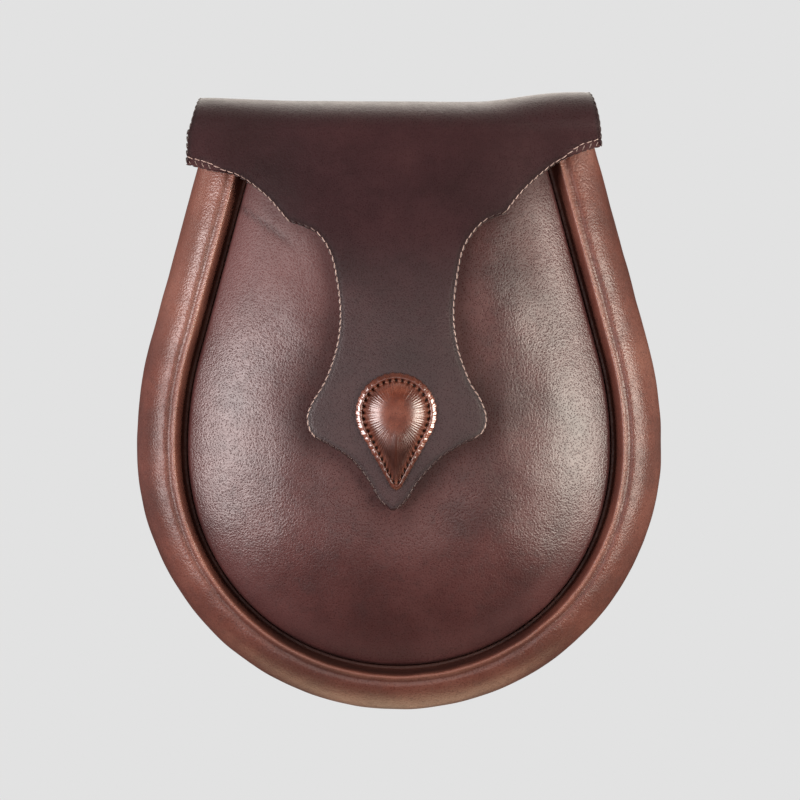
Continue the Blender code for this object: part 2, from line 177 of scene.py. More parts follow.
def catmull_rom(values: Array, substeps: int) -> Array:
    """Smooth curve through rows of values, with straight run-outs at both free ends.

    Between rows b and c it is half of 2b + (c-a)t + (2a-5b+4c-d)t2 + (3b-a-3c+d)t3.

    Args:
        values: Rows that the curve passes through.
        substeps: New rows for each old one.

    Returns:
        The denser rows, the last of them the old last row.
    """
    padded = np.vstack([2 * values[0] - values[1], values, 2 * values[-1] - values[-2]])
    a, b, c, d = (padded[i : len(padded) - 3 + i][:, None, :] for i in range(4))
    t = (np.arange(substeps) / substeps)[None, :, None]
    curve = 2 * b + (c - a) * t + (2 * a - 5 * b + 4 * c - d) * t**2
    curve = (curve + (3 * b - a - 3 * c + d) * t**3) / 2
    return np.vstack([curve.reshape(-1, values.shape[1]), values[-1:]])


def grid_quads(rows: int, columns: int, wrap: bool = False) -> Array:
    """Quads of a grid of points that are numbered row by row.

    Args:
        rows: Number of rows.
        columns: Points in a row.
        wrap: Whether each row closes on itself.

    Returns:
        Four point numbers for each quad.
    """
    row = np.arange(rows - 1)[:, None]
    column = np.arange(columns if wrap else columns - 1)[None, :]
    above, right = row + 1, (column + 1) % columns
    corners = [row * columns + column, row * columns + right]
    corners += [above * columns + right, above * columns + column]
    return np.stack([np.broadcast_to(c, corners[0].shape) for c in corners], -1).reshape(-1, 4)


def blurred(values: Array, spread: float) -> Array:
    """Blurs a table both ways: each value becomes the bell-weighted mean around it.

    Args:
        values: Table of values.
        spread: Width of the bell in steps of the table.

    Returns:
        The smoother table.
    """
    tables = []
    for count in values.shape:
        apart = np.subtract.outer(np.arange(count), np.arange(count))
        weight = np.exp(-0.5 * (apart / spread) ** 2)
        tables.append(weight / weight.sum(1, keepdims=True))
    return tables[0] @ values @ tables[1].T


def grid_normals(grid: Array) -> Array:
    """Unit normals of a grid of points: the cross product of its two differences.

    Args:
        grid: Points as rows, columns and three coordinates.

    Returns:
        One unit vector for each point.
    """
    normal = np.cross(np.gradient(grid, axis=1), np.gradient(grid, axis=0))
    return normal / np.maximum(np.linalg.norm(normal, axis=-1, keepdims=True), 1e-12)


@dataclass(frozen=True)
class HandUnevenness:
    """Slow swells of a hand-moulded surface, a sum of sine waves in many directions."""

    seed: int
    wavelength: float
    height: float
    waves: int = 11

    def at(self, x: Array, y: Array) -> Array:
        """Height of the swells: the mean of sines of the distance along each wave's direction.

        Args:
            x: First coordinate of the points.
            y: Second coordinate of the points.

        Returns:
            Heights in the same shape as x.
        """
        chance = np.random.default_rng(self.seed)
        turn, phase = chance.uniform(0.0, 2 * np.pi, (2, self.waves))
        length = self.wavelength * chance.uniform(0.6, 1.7, self.waves)
        along = x[..., None] * np.cos(turn) + y[..., None] * np.sin(turn)
        swell = np.sin(2 * np.pi * along / length + phase)
        return self.height * swell.sum(-1) / np.sqrt(self.waves)


def make_piece(
    name: str,
    points: Array,
    faces: list,
    material: bpy.types.Material,
    layers: dict[str, Array] | None = None,
    weld: bool = False,
    uv: Array | None = None,
) -> bpy.types.Object:
    """Makes a smooth shaded piece that rides on the pouch.

    Args:
        name: Name of the piece.
        points: One point a row.
        faces: Point numbers of each face.
        material: Finish of the piece.
        layers: Attribute name to one value for each point.
        weld: Whether points that meet become one.
        uv: Two pattern coordinates for each point.

    Returns:
        The object, at the origin.
    """
    mesh = bpy.data.meshes.new(name)
    mesh.from_pydata(np.asarray(points).reshape(-1, 3).tolist(), [], faces)
    for layer, values in (layers or {}).items():
        data = mesh.attributes.new(layer, "FLOAT", "POINT").data
        data.foreach_set("value", np.ascontiguousarray(values, np.float32).ravel())
    if uv is not None:
        corner = np.empty(len(mesh.loops), np.int32)
        mesh.loops.foreach_get("vertex_index", corner)
        placed = np.asarray(uv, np.float32).reshape(-1, 2)[corner]
        mesh.uv_layers.new(name="along").data.foreach_set("uv", placed.ravel())
    if weld:
        shell = bmesh.new()
        shell.from_mesh(mesh)
        bmesh.ops.remove_doubles(shell, verts=shell.verts, dist=1e-6)
        shell.to_mesh(mesh)
        shell.free()
    mesh.validate()
    mesh.shade_smooth()
    mesh.materials.append(material)
    piece = bpy.data.objects.new(name, mesh)
    bpy.context.scene.collection.objects.link(piece)
    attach(piece, "root")
    return piece


# Finishes


@dataclass(frozen=True)
class LeatherFinish:
    """Vegetable-tanned cowhide, dyed, waxed and rubbed up by hand.

    The wax gives a soft sheen and the dye takes unevenly in clouds. The grain side is a net
    of small cells. A pit in the middle of each, and larger pores, hold dark dye and less wax,
    which breaks up the shine. Three attributes of a piece guide it. Wear and light lightens
    what hands rub and paints highlights and sheen. Dirt and shade darkens seams and paints
    shade into grooves, creases, holes and faces turned from the light. Matt takes the shine
    off, or adds to it where it is below zero. The pattern sizes are those of cowhide.

    Attributes:
        name: Name of the material.
        base: Colour of most of the dye.
        dark: Colour where the dye took twice, in pits, pores and cloud edges. Four tenths of it is
            the colour of dirt and painted shade.
        light: Colour where the dye took thinly or is rubbed off, and of painted highlights and
            sheen.
        roughness: Roughness of the wax, least and greatest.
        cloud: Width of the dye clouds.
        pebble: Width of one cell of the grain.
        pebble_depth: Height of the cell's rim above its pit.
        pore: Distance between pores.
        specular: Strength of the wax shine.
        streak: Height of the creases along the piece, or 0 for none.
        speckle: Share of the light colour on the finest grain.
        pit: How much shine the pits lose, from 0 to 1.
        crease: Width of the creases along the piece.
        ior: Index of refraction of the wax.
    """

    name: str
    base: str
    dark: str
    light: str
    roughness: tuple[float, float] = (0.38, 0.52)
    cloud: float = 24.0 * MM
    pebble: float = 0.85 * MM
    pebble_depth: float = 0.05 * MM
    pore: float = 2.6 * MM
    specular: float = 0.5
    streak: float = 0.0
    speckle: float = 0.22
    pit: float = 0.4
    crease: float = 0.8 * MM
    ior: float = 1.48

    def material(self) -> bpy.types.Material:
        """Builds the node material.

        Returns:
            The finished material.
        """
        made, tree, shader = new_material(self.name)
        place = add_node(tree, "ShaderNodeTexCoord").outputs["Object"]
        cloud, mottle, fine = (
            add_node(
                tree,
                "ShaderNodeTexNoise",
                {"Vector": place, "Scale": 1.0 / size, "Detail": detail, "Roughness": rough},
            ).outputs["Fac"]
            for size, detail, rough in (
                (self.cloud, 4.0, 0.55),
                (self.cloud / 7.0, 3.0, 0.6),
                (self.pebble * 0.7, 2.0, 0.6),
            )
        )
        pebbles = add_node(
            tree,
            "ShaderNodeTexVoronoi",
            {"Vector": place, "Scale": 1.0 / self.pebble, "Smoothness": 0.35},
            feature="SMOOTH_F1",
        ).outputs["Distance"]
        pores = add_node(
            tree, "ShaderNodeTexVoronoi", {"Vector": place, "Scale": 1.0 / self.pore}
        ).outputs["Distance"]
        colour = self._colour(tree, cloud, mottle, fine, pores, pebbles)
        tree.links.new(colour, shader.inputs["Base Color"])
        height = self._height(tree, pebbles, fine, mottle)
        bump = add_node(
            tree, "ShaderNodeBump", {"Height": height, "Distance": 1.0, "Strength": 1.0}
        )
        tree.links.new(bump.outputs["Normal"], shader.inputs["Normal"])
        gloss = add_node(
            tree,
            "ShaderNodeMapRange",
            {"Value": mottle, 1: 0.3, 2: 0.7, 3: self.roughness[0], 4: self.roughness[1]},
        )
        matt = add_node(tree, "ShaderNodeAttribute", attribute_name="matt").outputs["Fac"]
        rough = add_node(
            tree,
            "ShaderNodeMath",
            {0: matt, 1: 0.16, 2: gloss.outputs["Result"]},
            operation="MULTIPLY_ADD",
        )
        tree.links.new(rough.outputs[0], shader.inputs["Roughness"])
        shine = add_node(
            tree,
            "ShaderNodeMath",
            {0: matt, 1: -0.8 * self.specular, 2: self.specular},
            operation="MULTIPLY_ADD",
        )
        waxed = add_node(
            tree,
            "ShaderNodeMapRange",
            {"Value": pebbles, 1: 0.14, 2: 0.44, 3: 1.0 - self.pit, 4: 1.0},
        )
        shine = add_node(
            tree,
            "ShaderNodeMath",
            {0: shine.outputs[0], 1: waxed.outputs["Result"]},
            operation="MULTIPLY",
        )
        tree.links.new(shine.outputs[0], shader.inputs["Specular IOR Level"])
        shader.inputs["IOR"].default_value = self.ior
        return made

    def _tint(
        self,
        tree: Tree,
        amount: Socket,
        below: tuple | Socket,
        above: tuple | Socket,
        low: float,
        high: float,
        top: float = 1.0,
    ) -> Socket:
        """Fades one colour into another as amount goes from low to high.

        Args:
            tree: Node tree of the material.
            amount: Socket that drives the fade.
            below: Colour, or socket, at low.
            above: Colour, or socket, at high.
            low: Amount at which the fade starts.
            high: Amount at which it ends.
            top: Share of the second colour at the end.

        Returns:
            The output socket with the colour.
        """
        share = add_node(
            tree, "ShaderNodeMapRange", {"Value": amount, 1: low, 2: high, 3: 0.0, 4: top}
        )
        mixed = add_node(
            tree,
            "ShaderNodeMix",
            {"Factor": share.outputs["Result"], "A": (0, 0, 0, 1), "B": (0, 0, 0, 1)},
            data_type="RGBA",
        )
        for socket, value in ((mixed.inputs[6], below), (mixed.inputs[7], above)):
            if isinstance(value, Socket):
                tree.links.new(value, socket)
            else:
                socket.default_value = value
        return mixed.outputs[2]

    def _colour(
        self,
        tree: Tree,
        cloud: Socket,
        mottle: Socket,
        fine: Socket,
        pores: Socket,
        pebbles: Socket,
    ) -> Socket:
        """Dye clouds, mottling, pores, then wear and painted highlights, then dirt and painted
        shade, one over the other.

        Args:
            tree: Node tree of the material.
            cloud: Widest dye pattern.
            mottle: Middle dye pattern.
            fine: Finest grain.
            pores: Distance from the nearest pore.
            pebbles: Distance from the middle of the nearest cell of the grain.

        Returns:
            The output socket with the colour.
        """
        base, dark, light = linear(self.base), linear(self.dark), linear(self.light)
        colour = self._tint(tree, cloud, dark, base, 0.3, 0.52)
        colour = self._tint(tree, cloud, colour, light, 0.5, 0.85, 0.5)
        colour = self._tint(tree, mottle, colour, dark, 0.52, 0.72, 0.45)
        colour = self._tint(tree, fine, colour, light, 0.55, 0.8, self.speckle)
        colour = self._tint(tree, pores, dark, colour, 0.03, 0.12)
        colour = self._tint(tree, pebbles, dark, colour, 0.05, 0.35)
        # Wear and painted highlights mix in the light colour; dirt and painted shade mix in a
        # darkened dark colour.
        wear_and_light, dirt_and_shade = (
            add_node(tree, "ShaderNodeAttribute", attribute_name=name).outputs["Fac"]
            for name in ("wear_and_light", "dirt_and_shade")
        )
        colour = self._tint(tree, wear_and_light, colour, light, 0.0, 1.0, 0.9)
        shade_and_dirt_colour = tuple(0.4 * c for c in dark[:3]) + (1.0,)
        return self._tint(tree, dirt_and_shade, colour, shade_and_dirt_colour, 0.0, 1.0, 0.95)

    def _height(self, tree: Tree, pebbles: Socket, fine: Socket, mottle: Socket) -> Socket:
        """Bump height in metres: pits, fine grain, slow dents and, where asked, creases.

        Args:
            tree: Node tree of the material.
            pebbles: Distance from the middle of the nearest cell of the grain.
            fine: Finest grain.
            mottle: Pattern of the dents.

        Returns:
            The output socket with the height.
        """
        depth = self.pebble_depth
        patterns = [(pebbles, depth), (fine, depth * 0.6), (mottle, depth * 0.9)]
        if self.streak:
            path = add_node(tree, "ShaderNodeUVMap", uv_map="along").outputs["UV"]
            stretched = add_node(
                tree, "ShaderNodeMapping", {"Vector": path, "Scale": (0.06, 1, 1)}
            ).outputs[0]
            lines = add_node(
                tree,
                "ShaderNodeTexNoise",
                {"Vector": stretched, "Scale": 1.0 / self.crease, "Detail": 2.0},
            ).outputs["Fac"]
            patterns.append((lines, self.streak))
        height = 0.0
        for pattern, depth in patterns:
            height = add_node(
                tree, "ShaderNodeMath", {0: pattern, 1: depth, 2: height}, operation="MULTIPLY_ADD"
            ).outputs[0]
        return height


@dataclass(frozen=True)
class ThreadFinish:
    """Waxed linen thread, dark, and mixed towards a pale colour where hands and clothes rub it and
    where glints are painted on it.

    The wax makes it shine softly. Its strands are finer than a pixel, so the pattern of its
    twist is drawn as coarse as it needs to show.
    """

    name: str
    colour: str
    rubbed: str
    roughness: float = 0.45
    twist: float = 0.35 * MM

    def material(self) -> bpy.types.Material:
        """Builds the node material.

        Returns:
            The finished material.
        """
        made, tree, shader = new_material(self.name)
        place = add_node(tree, "ShaderNodeTexCoord").outputs["Object"]
        fibre = add_node(
            tree,
            "ShaderNodeTexNoise",
            {"Vector": place, "Scale": 1.0 / self.twist, "Detail": 2.0},
        ).outputs["Fac"]
        wear_and_light = add_node(tree, "ShaderNodeAttribute", attribute_name="wear_and_light").outputs["Fac"]
        tone = add_node(
            tree,
            "ShaderNodeMix",
            {"Factor": wear_and_light, "A": (0, 0, 0, 1), "B": (0, 0, 0, 1)},
            data_type="RGBA",
        )
        tone.inputs[6].default_value = linear(self.colour)
        tone.inputs[7].default_value = linear(self.rubbed)
        tree.links.new(tone.outputs[2], shader.inputs["Base Color"])
        bump = add_node(
            tree, "ShaderNodeBump", {"Height": fibre, "Distance": 0.05 * MM, "Strength": 1.0}
        )
        tree.links.new(bump.outputs["Normal"], shader.inputs["Normal"])
        shader.inputs["Roughness"].default_value = self.roughness
        return made


@dataclass(frozen=True)
class BrassFinish:
    """Plain turned brass, slightly dulled by handling."""

    name: str = "turned_brass"
    colour: str = "c9a35e"

    def material(self) -> bpy.types.Material:
        """Builds the node material.

        Returns:
            The finished material.
        """
        made, tree, shader = new_material(self.name)
        place = add_node(tree, "ShaderNodeTexCoord").outputs["Object"]
        dull = add_node(
            tree, "ShaderNodeTexNoise", {"Vector": place, "Scale": 1.0 / (1.5 * MM)}
        ).outputs["Fac"]
        rough = add_node(tree, "ShaderNodeMapRange", {"Value": dull, 3: 0.22, 4: 0.42})
        tree.links.new(rough.outputs["Result"], shader.inputs["Roughness"])
        shader.inputs["Base Color"].default_value = linear(self.colour)
        shader.inputs["Metallic"].default_value = 1.0
        return made


class Hide(Enum):
    """The finishes of the pouch's leathers, threads and stud."""

    ROLL = LeatherFinish(
        "chestnut_roll_leather", "5d332a", "462620", "8f6152", (0.38, 0.50),
        pebble=0.7 * MM, pebble_depth=0.085 * MM, streak=0.045 * MM, specular=0.54,
        speckle=0.35, pit=0.5,
    )
    PANEL = LeatherFinish(
        "dark_brown_panel_leather", "422524", "301b1b", "624140", (0.29, 0.35),
        pebble=0.62 * MM, pebble_depth=0.055 * MM, specular=0.57, speckle=0.4, pit=0.85,
    )
    FLAP = LeatherFinish(
        "dark_brown_flap_leather", "281417", "1f0e10", "3e2627", (0.42, 0.50),
        pebble=0.6 * MM, pebble_depth=0.06 * MM, specular=0.52, speckle=0.5, pit=0.5,
    )
    BOSS = LeatherFinish(
        "polished_boss_leather", "55291c", "381811", "96604f", (0.24, 0.32),
        cloud=9.0 * MM, pebble=0.5 * MM, pebble_depth=0.02 * MM, specular=0.95, pit=0.1,
    )
    EDGE_THREAD = ThreadFinish("waxed_edge_thread", "2b1a19", "a08a82", 0.36)
    BOSS_THREAD = ThreadFinish("waxed_boss_thread", "3c2119", "8a5a48", 0.34)
    BRASS = BrassFinish()


# The form that all pieces share


@dataclass(frozen=True)
class PouchForm:
    """Outline, dome and seat of the flap, worked out from the same sizes as the solids."""

    centre_y: float
    bottom_radius: float = 85.0 * MM
    side_radius: float = 130.0 * MM
    side_lean: float = float(np.radians(15.2))
    side_rise: float = 99.0 * MM
    roll_depth: float = 30.0 * MM
    crown: float = 9.2 * MM
    ridge: float = 12.0 * MM
    ridge_rise: float = 0.3 * MM
    groove_depth: float = 9.4 * MM
    mouth_taper: float = 0.40
    mouth_taper_length: float = 36.0 * MM
    bottom_squeeze: float = 0.87
    panel_inset: float = 16.8 * MM
    dome_centre: float = 4.0 * MM
    shoulder_drop: float = 2.6 * MM
    dome_rise: float = 17.0 * MM
    mouth_arch: float = 0.8
    dome_power: float = 2.6
    dome_fullness: float = 0.88
    gap: float = 0.3 * MM

    @property
    def shoulder(self) -> float:
        """Height of the edge of the front panel."""
        return self.roll_depth - self.shoulder_drop

    @property
    def groove_floor(self) -> float:
        """Height of the floor of the front groove."""
        return self.roll_depth - self.groove_depth

    def rim(self, bottom: int = 130, side: int = 26, straight: int = 44) -> tuple[Array, Array]:
        """Outline of the roll: a circle, a long arc on each side and a straight lean.

        Args:
            bottom: Steps round each half of the circle.
            side: Steps along each side arc.
            straight: Steps along each straight.

        Returns:
            Points and outward normals from the left top round to the right top.
        """
        low = np.radians(np.linspace(-90.0, 0.0, bottom + 1))
        high = np.linspace(0.0, self.side_lean, side + 1)[1:]
        angle = np.concatenate([low, high])
        normals = np.column_stack([np.cos(angle), np.sin(angle)])
        points = self.bottom_radius * normals
        bend = np.array([self.bottom_radius - self.side_radius, 0.0])
        points[len(low) :] = bend + self.side_radius * normals[len(low) :]
        length = (self.side_rise - points[-1, 1]) / np.cos(self.side_lean)
        along = np.array([-np.sin(self.side_lean), np.cos(self.side_lean)])
        run = points[-1] + np.linspace(0.0, length, straight + 1)[1:, None] * along
        points = np.vstack([points, run])
        normals = np.vstack([normals, np.repeat(normals[-1:], straight, axis=0)])
        flip = np.array([-1.0, 1.0])
        return (
            np.vstack([points[:0:-1] * flip, points]),
            np.vstack([normals[:0:-1] * flip, normals]),
        )

    def squeeze(self, normals: Array) -> Array:
        """Share of the insets: 1 on the sides, fading to less at the bottom."""
        return self.bottom_squeeze + (1.0 - self.bottom_squeeze) * smooth_step(1.0 + normals[:, 1])

    def half_width(self, y: Array) -> Array:
        """Half the width of the outline, found along its right side and its straight lean.

        Args:
            y: Places up.

        Returns:
            Half the width at each.
        """
        points, _ = self.rim()
        right = points[len(points) // 2 :]
        lean = np.tan(self.side_lean)
        past = right[-1, 0] - (y - right[-1, 1]) * lean
        return np.where(y > right[-1, 1], past, np.interp(y, right[:, 1], right[:, 0]))

    def roll_height(self, z: Array, y: Array) -> Array:
        """Height of a point of the roll, which sinks towards the mouth with a square law."""
        along = np.clip(1.0 - (self.side_rise - y) / self.mouth_taper_length, 0.0, 1.0)
        return z - np.maximum(0.0, z - self.groove_floor) * self.mouth_taper * along**2

    def panel_edge(self) -> tuple[Array, int]:
        """Edge of the front panel: along the seam, then straight across the mouth.

        Returns:
            Points, and the number of points along the seam.
        """
        points, normals = self.rim()
        seam = points - normals * (self.panel_inset * self.squeeze(normals))[:, None]
        mouth = np.linspace(seam[-1], seam[0], 101)[1:-1]
        return np.vstack([seam, mouth]), len(seam)

    def dome_outline(self) -> Array:
        """Line at which the dome runs out: the seam, closed by an elliptic arch above.

        Returns:
            Points, from the left top round the seam and back over the arch.
        """
        edge, count = self.panel_edge()
        corner = edge[count - 1]
        start = np.arctan(self.mouth_arch * np.tan(self.side_lean))
        across = corner[0] / np.cos(start)
        up = self.mouth_arch * across
        middle = np.array([0.0, corner[1] - up * np.sin(start)])
        ends = np.degrees([start, np.pi - start])
        arch = arc(middle, (across, up), ends[0], ends[1], 90)[1:-1]
        return np.vstack([edge[:count], arch])

    def dome_profile(self, share: Array) -> Array:
        """Rise of the dome for a share of the way out: one less a power, to a power."""
        return (1.0 - np.clip(share, 0.0, 1.0) ** self.dome_power) ** self.dome_fullness

    def dome_height(self, x: Array, y: Array) -> Array:
        """Outer height of the front panel, from the share of the way to where it runs out.

        Args:
            x: Places across.
            y: Places up, from the centre of the bottom circle.

        Returns:
            Heights, level beyond the seam.
        """
        away = self.dome_outline() - (0.0, self.dome_centre)
        angles = np.arctan2(away[:, 0], away[:, 1])
        order = np.argsort(angles)
        reach = np.hypot(away[:, 0], away[:, 1])[order]
        angle = np.arctan2(x, y - self.dome_centre)
        out = np.interp(angle, angles[order], reach, period=2 * np.pi)
        share = np.hypot(x, y - self.dome_centre) / out
        return self.shoulder + self.dome_rise * self.dome_profile(share)

    def placed(self, x: Array, y: Array, z: Array) -> Array:
        """Points in the model's frame, with the middle of the pouch over the origin."""
        x, y, z = np.broadcast_arrays(x, y + self.centre_y, z)
        return np.stack([x, y, z], axis=-1)


# The pieces


@dataclass
class StitchRow:
    """Separate stitches of a thread, each a capsule that dips into the leather at both ends."""

    name: str
    length: float
    radius: float
    dip: float
    segments: int = 6
    rings: int = 7

    def mesh_data(
        self, middle: Array, along: Array, up: Array, size: Array | float = 1.0
    ) -> tuple[Array, list]:
        """Capsules: a ring of radius times root (1 - 0.97 t^6) at each t, bent by dip t^2.

        Args:
            middle: Middle of each stitch.
            along: Unit direction of each stitch.
            up: Unit direction away from the leather.
            size: Share of the full length of each stitch.

        Returns:
            Points and faces.
        """
        side = unit(np.cross(up, along))
        t = np.linspace(-1.0, 1.0, self.rings)
        turn = np.linspace(0.0, 2 * np.pi, self.segments, endpoint=False)
        thick = self.radius * np.sqrt(1.0 - 0.97 * t**6)
        round_up, round_side = np.outer(thick, np.cos(turn)), np.outer(thick, np.sin(turn))
        reach = along * np.reshape(size * np.ones(len(along)), (-1, 1)) * self.length / 2
        points = middle[:, None, None] + reach[:, None, None] * t[:, None, None]
        points = points - up[:, None, None] * (self.dip * t**2)[:, None, None]
        points = points + up[:, None, None] * round_up[..., None]
        points = points + side[:, None, None] * round_side[..., None]
        quads = grid_quads(self.rings, self.segments, wrap=True)
        start = list(range(self.segments))[::-1]
        end = [self.segments * (self.rings - 1) + i for i in range(self.segments)]
        each = self.rings * self.segments
        shifts = np.arange(len(middle)) * each
        faces = (quads[None] + shifts[:, None, None]).reshape(-1, 4).tolist()
        caps = np.array([start, end])[None] + shifts[:, None, None]
        return points.reshape(-1, 3), faces + caps.reshape(-1, self.segments).tolist()

    def build(
        self,
        middle: Array,
        along: Array,
        up: Array,
        finish: Hide,
        slot: str,
        size: Array | float = 1.0,
        rubbed: Array | float = 0.0,
    ) -> bpy.types.Object:
        """Makes the row as one piece.

        Args:
            middle: Middle of each stitch.
            along: Unit direction of each stitch.
            up: Unit direction away from the leather.
            finish: Finish of the thread.
            slot: Not used.
            size: Share of the full length of each stitch.
            rubbed: How far each stitch is pale, from 0 to 1, from wear and from painted glints.

        Returns:
            The object.
        """
        points, faces = self.mesh_data(middle, along, up, size)
        pale = np.repeat(rubbed * np.ones(len(middle)), len(points) // len(middle))
        piece = make_piece(self.name, points, faces, finish.value.material(), {"wear_and_light": pale})
        return piece


@dataclass
class Roll:
    """The moulded roll round the sides and bottom, with a creased ridge inside its crown."""

    form: PouchForm
    wall: float = 2.0 * MM
    flank: float = 13.5 * MM
    welt: float = 3.2 * MM
    back_seam: float = 15.0 * MM
    back_plane: float = 9.5 * MM
    back_wall: float = 2.2 * MM
    groove_bend: float = 2.0 * MM
    back_bend: float = 2.4 * MM
    flange: float = 4.0 * MM
    back_flange: float = 6.0 * MM
    pressed_line: float = 10.3 * MM
    pressed_depth: float = 0.5 * MM

    def section(self, share: float) -> Array:
        """Closed section of the roll: an outer line of arcs and the same line a wall inside.

        The outside is a half ellipse that is highest at the ridge. A pressed line, a bell
        of the inset, runs just outside the ridge. The flank falls from it as an S curve.

        Args:
            share: Share of the insets at this place along the roll.

        Returns:
            Inset and height of each point of the section.
        """
        form, wall = self.form, self.wall
        crown, seam = form.ridge * share, self.back_seam * share
        flank, panel = self.flank * share, form.panel_inset * share - form.gap
        middle, floor = form.roll_depth / 2, form.groove_floor + self.welt
        back = self.back_plane + self.back_wall + form.gap
        bend = self.back_bend
        outer = [
            np.array([(seam + self.back_flange, back), (seam + 2 * MM, back), (seam, back)]),
            np.array([(seam, 0.75 * back), (seam, 0.5 * back)]),
            arc((seam - bend, bend), (bend, bend), 0, -90, 8),
            arc((crown, middle), (crown, middle), 268, 180, 34)[:-1],
            arc((crown, middle), (crown, middle), 180, 88, 70),
        ]
        t = np.linspace(0.0, 1.0, 15)[1:]
        fall = form.roll_depth - (form.roll_depth - floor) * smooth_step(t) ** 0.9
        outer.append(np.column_stack([crown + 0.4 * MM + (panel - crown - 1.2 * MM) * t, fall]))
        outer.append(np.array([(panel - 0.4 * MM, floor), (panel, floor)]))
        outer.append(np.array([(panel, floor - self.flange)]))
        low = floor - wall
        inner = [
            np.array([(panel - wall, floor - self.flange), (panel - wall, low)]),
            np.array([(flank - wall + self.groove_bend, low)]),
            np.array([(flank - wall, low + self.groove_bend)]),
            np.array([(crown, form.roll_depth - wall - 0.4 * MM)]),
            arc((crown, middle), (crown - wall, middle - wall), 95, 270, 16),
            np.array([(seam - wall, wall), (seam - wall, back + wall)]),
            np.array([(seam + self.back_flange, back + wall)]),
        ]
        line = np.vstack(outer)
        top = line[:, 1] > middle
        pressed = -self.pressed_depth * bell(line[:, 0], self.pressed_line * share, 0.9 * MM)
        raised = (form.ridge_rise + 0.1 * MM) * bell(line[:, 0], crown, 0.8 * MM)
        line[:, 1] += np.where(top, pressed + raised, 0.0)
        return np.vstack([line, *inner])

    def build(self) -> list[bpy.types.Object]:
        """Sweeps the section along the outline: outline point less normal times inset.

        Returns:
            The roll.
        """
        form = self.form
        rim, normals = form.rim()
        shares = form.squeeze(normals)
        sections = np.stack([self.section(share) for share in shares])
        path, across = arc_length(rim), arc_length(sections[0])
        inset = sections[..., 0]
        seen = inset < form.ridge
        swell = HandUnevenness(5, 26.0 * MM, 0.16 * MM).at(path[:, None], across[None, :])
        swell += HandUnevenness(8, 9.0 * MM, 0.05 * MM).at(path[:, None], across[None, :])
        inset = inset + np.where(seen, 0.5 * swell + 0.1 * MM, 0.0)
        flat = rim[:, None] - normals[:, None] * inset[..., None]
        height = form.roll_height(sections[..., 1], rim[:, 1:2])
        raised = smooth_step((sections[..., 1] / form.roll_depth - 0.5) / 0.3) * seen
        height = height + raised * (swell - 0.15 * MM)
        points = form.placed(flat[..., 0], flat[..., 1], height)
        rows, columns = points.shape[:2]
        faces = grid_quads(rows, columns, wrap=True)[:, ::-1].tolist()
        faces += [list(range(columns)), list(range((rows - 1) * columns, rows * columns))[::-1]]
        front = sections[..., 1] > form.groove_floor + self.welt - 0.1 * MM
        place = sections[..., 0] / shares[:, None]
        ridge = front * bell(place, form.ridge + 0.1 * MM, 0.7 * MM)
        crease = front * bell(place, self.pressed_line, 0.8 * MM)
        layers = self.wear_dirt_and_painted_light(rim, normals, place, front, ridge, crease)
        uv = np.stack(np.broadcast_arrays(path[:, None], across[None, :]), -1)
        roll = make_piece("roll", points, faces, Hide.ROLL.value.material(), layers, uv=uv)
        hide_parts("gusset")
        return [roll]

    def wear_dirt_and_painted_light(
        self, rim: Array, normals: Array, place: Array, front: Array, ridge: Array, crease: Array
    ) -> dict[str, Array]:
        """Where the roll is lightened as painted highlights, darkened as painted shade, dull or
        polished, from smooth steps and bells.

        The ridge is lightened as a painted highlight. The upper left is polished where a hand
        holds it, and lightened there as painted light. Painted shade lies in the pressed line,
        down the flank into the groove, and round the bottom, which faces down.

        Args:
            rim: Outline of the roll.
            normals: Its outward normals.
            place: Inset of each point, before the squeeze at the bottom.
            front: Whether the point is on the front of the section.
            ridge: 1 on the ridge, 0 away from it.
            crease: 1 on the pressed line, 0 away from it.

        Returns:
            Attribute name to one value for each point.
        """
        deep = smooth_step((place - 12.5 * MM) / (1.5 * MM)) * front
        low = smooth_step(-normals[:, 1:2])
        x, y = rim[:, :1], rim[:, 1:2]
        held_left, held_right = smooth_step((y - 22 * MM) / (25 * MM)), bell(y, 38 * MM, 32 * MM)
        held = np.where(x < 0, held_left, 0.7 * held_right)
        # Painted light: the upper left of the roll is lightened.
        left = held * (x < 0) * (1.0 - deep)
        lit = 1.0 - 0.5 * smooth_step(x / (60 * MM))
        # Painted shade down the flank into the groove, stronger low down and weaker on the right.
        groove_shade = (0.36 + 0.33 * low) * deep * lit
        # Painted highlight on the ridge, painted light on the upper left, and painted shade in the
        # pressed line, the groove and round the bottom.
        return {
            "wear_and_light": 0.5 * ridge + 0.3 * left,
            "dirt_and_shade": np.clip(0.25 * crease + groove_shade + 0.42 * low**4, 0, 1),
            "matt": 0.65 * deep * lit - 0.38 * held * (1.0 - deep) - 0.12 * left,
        }


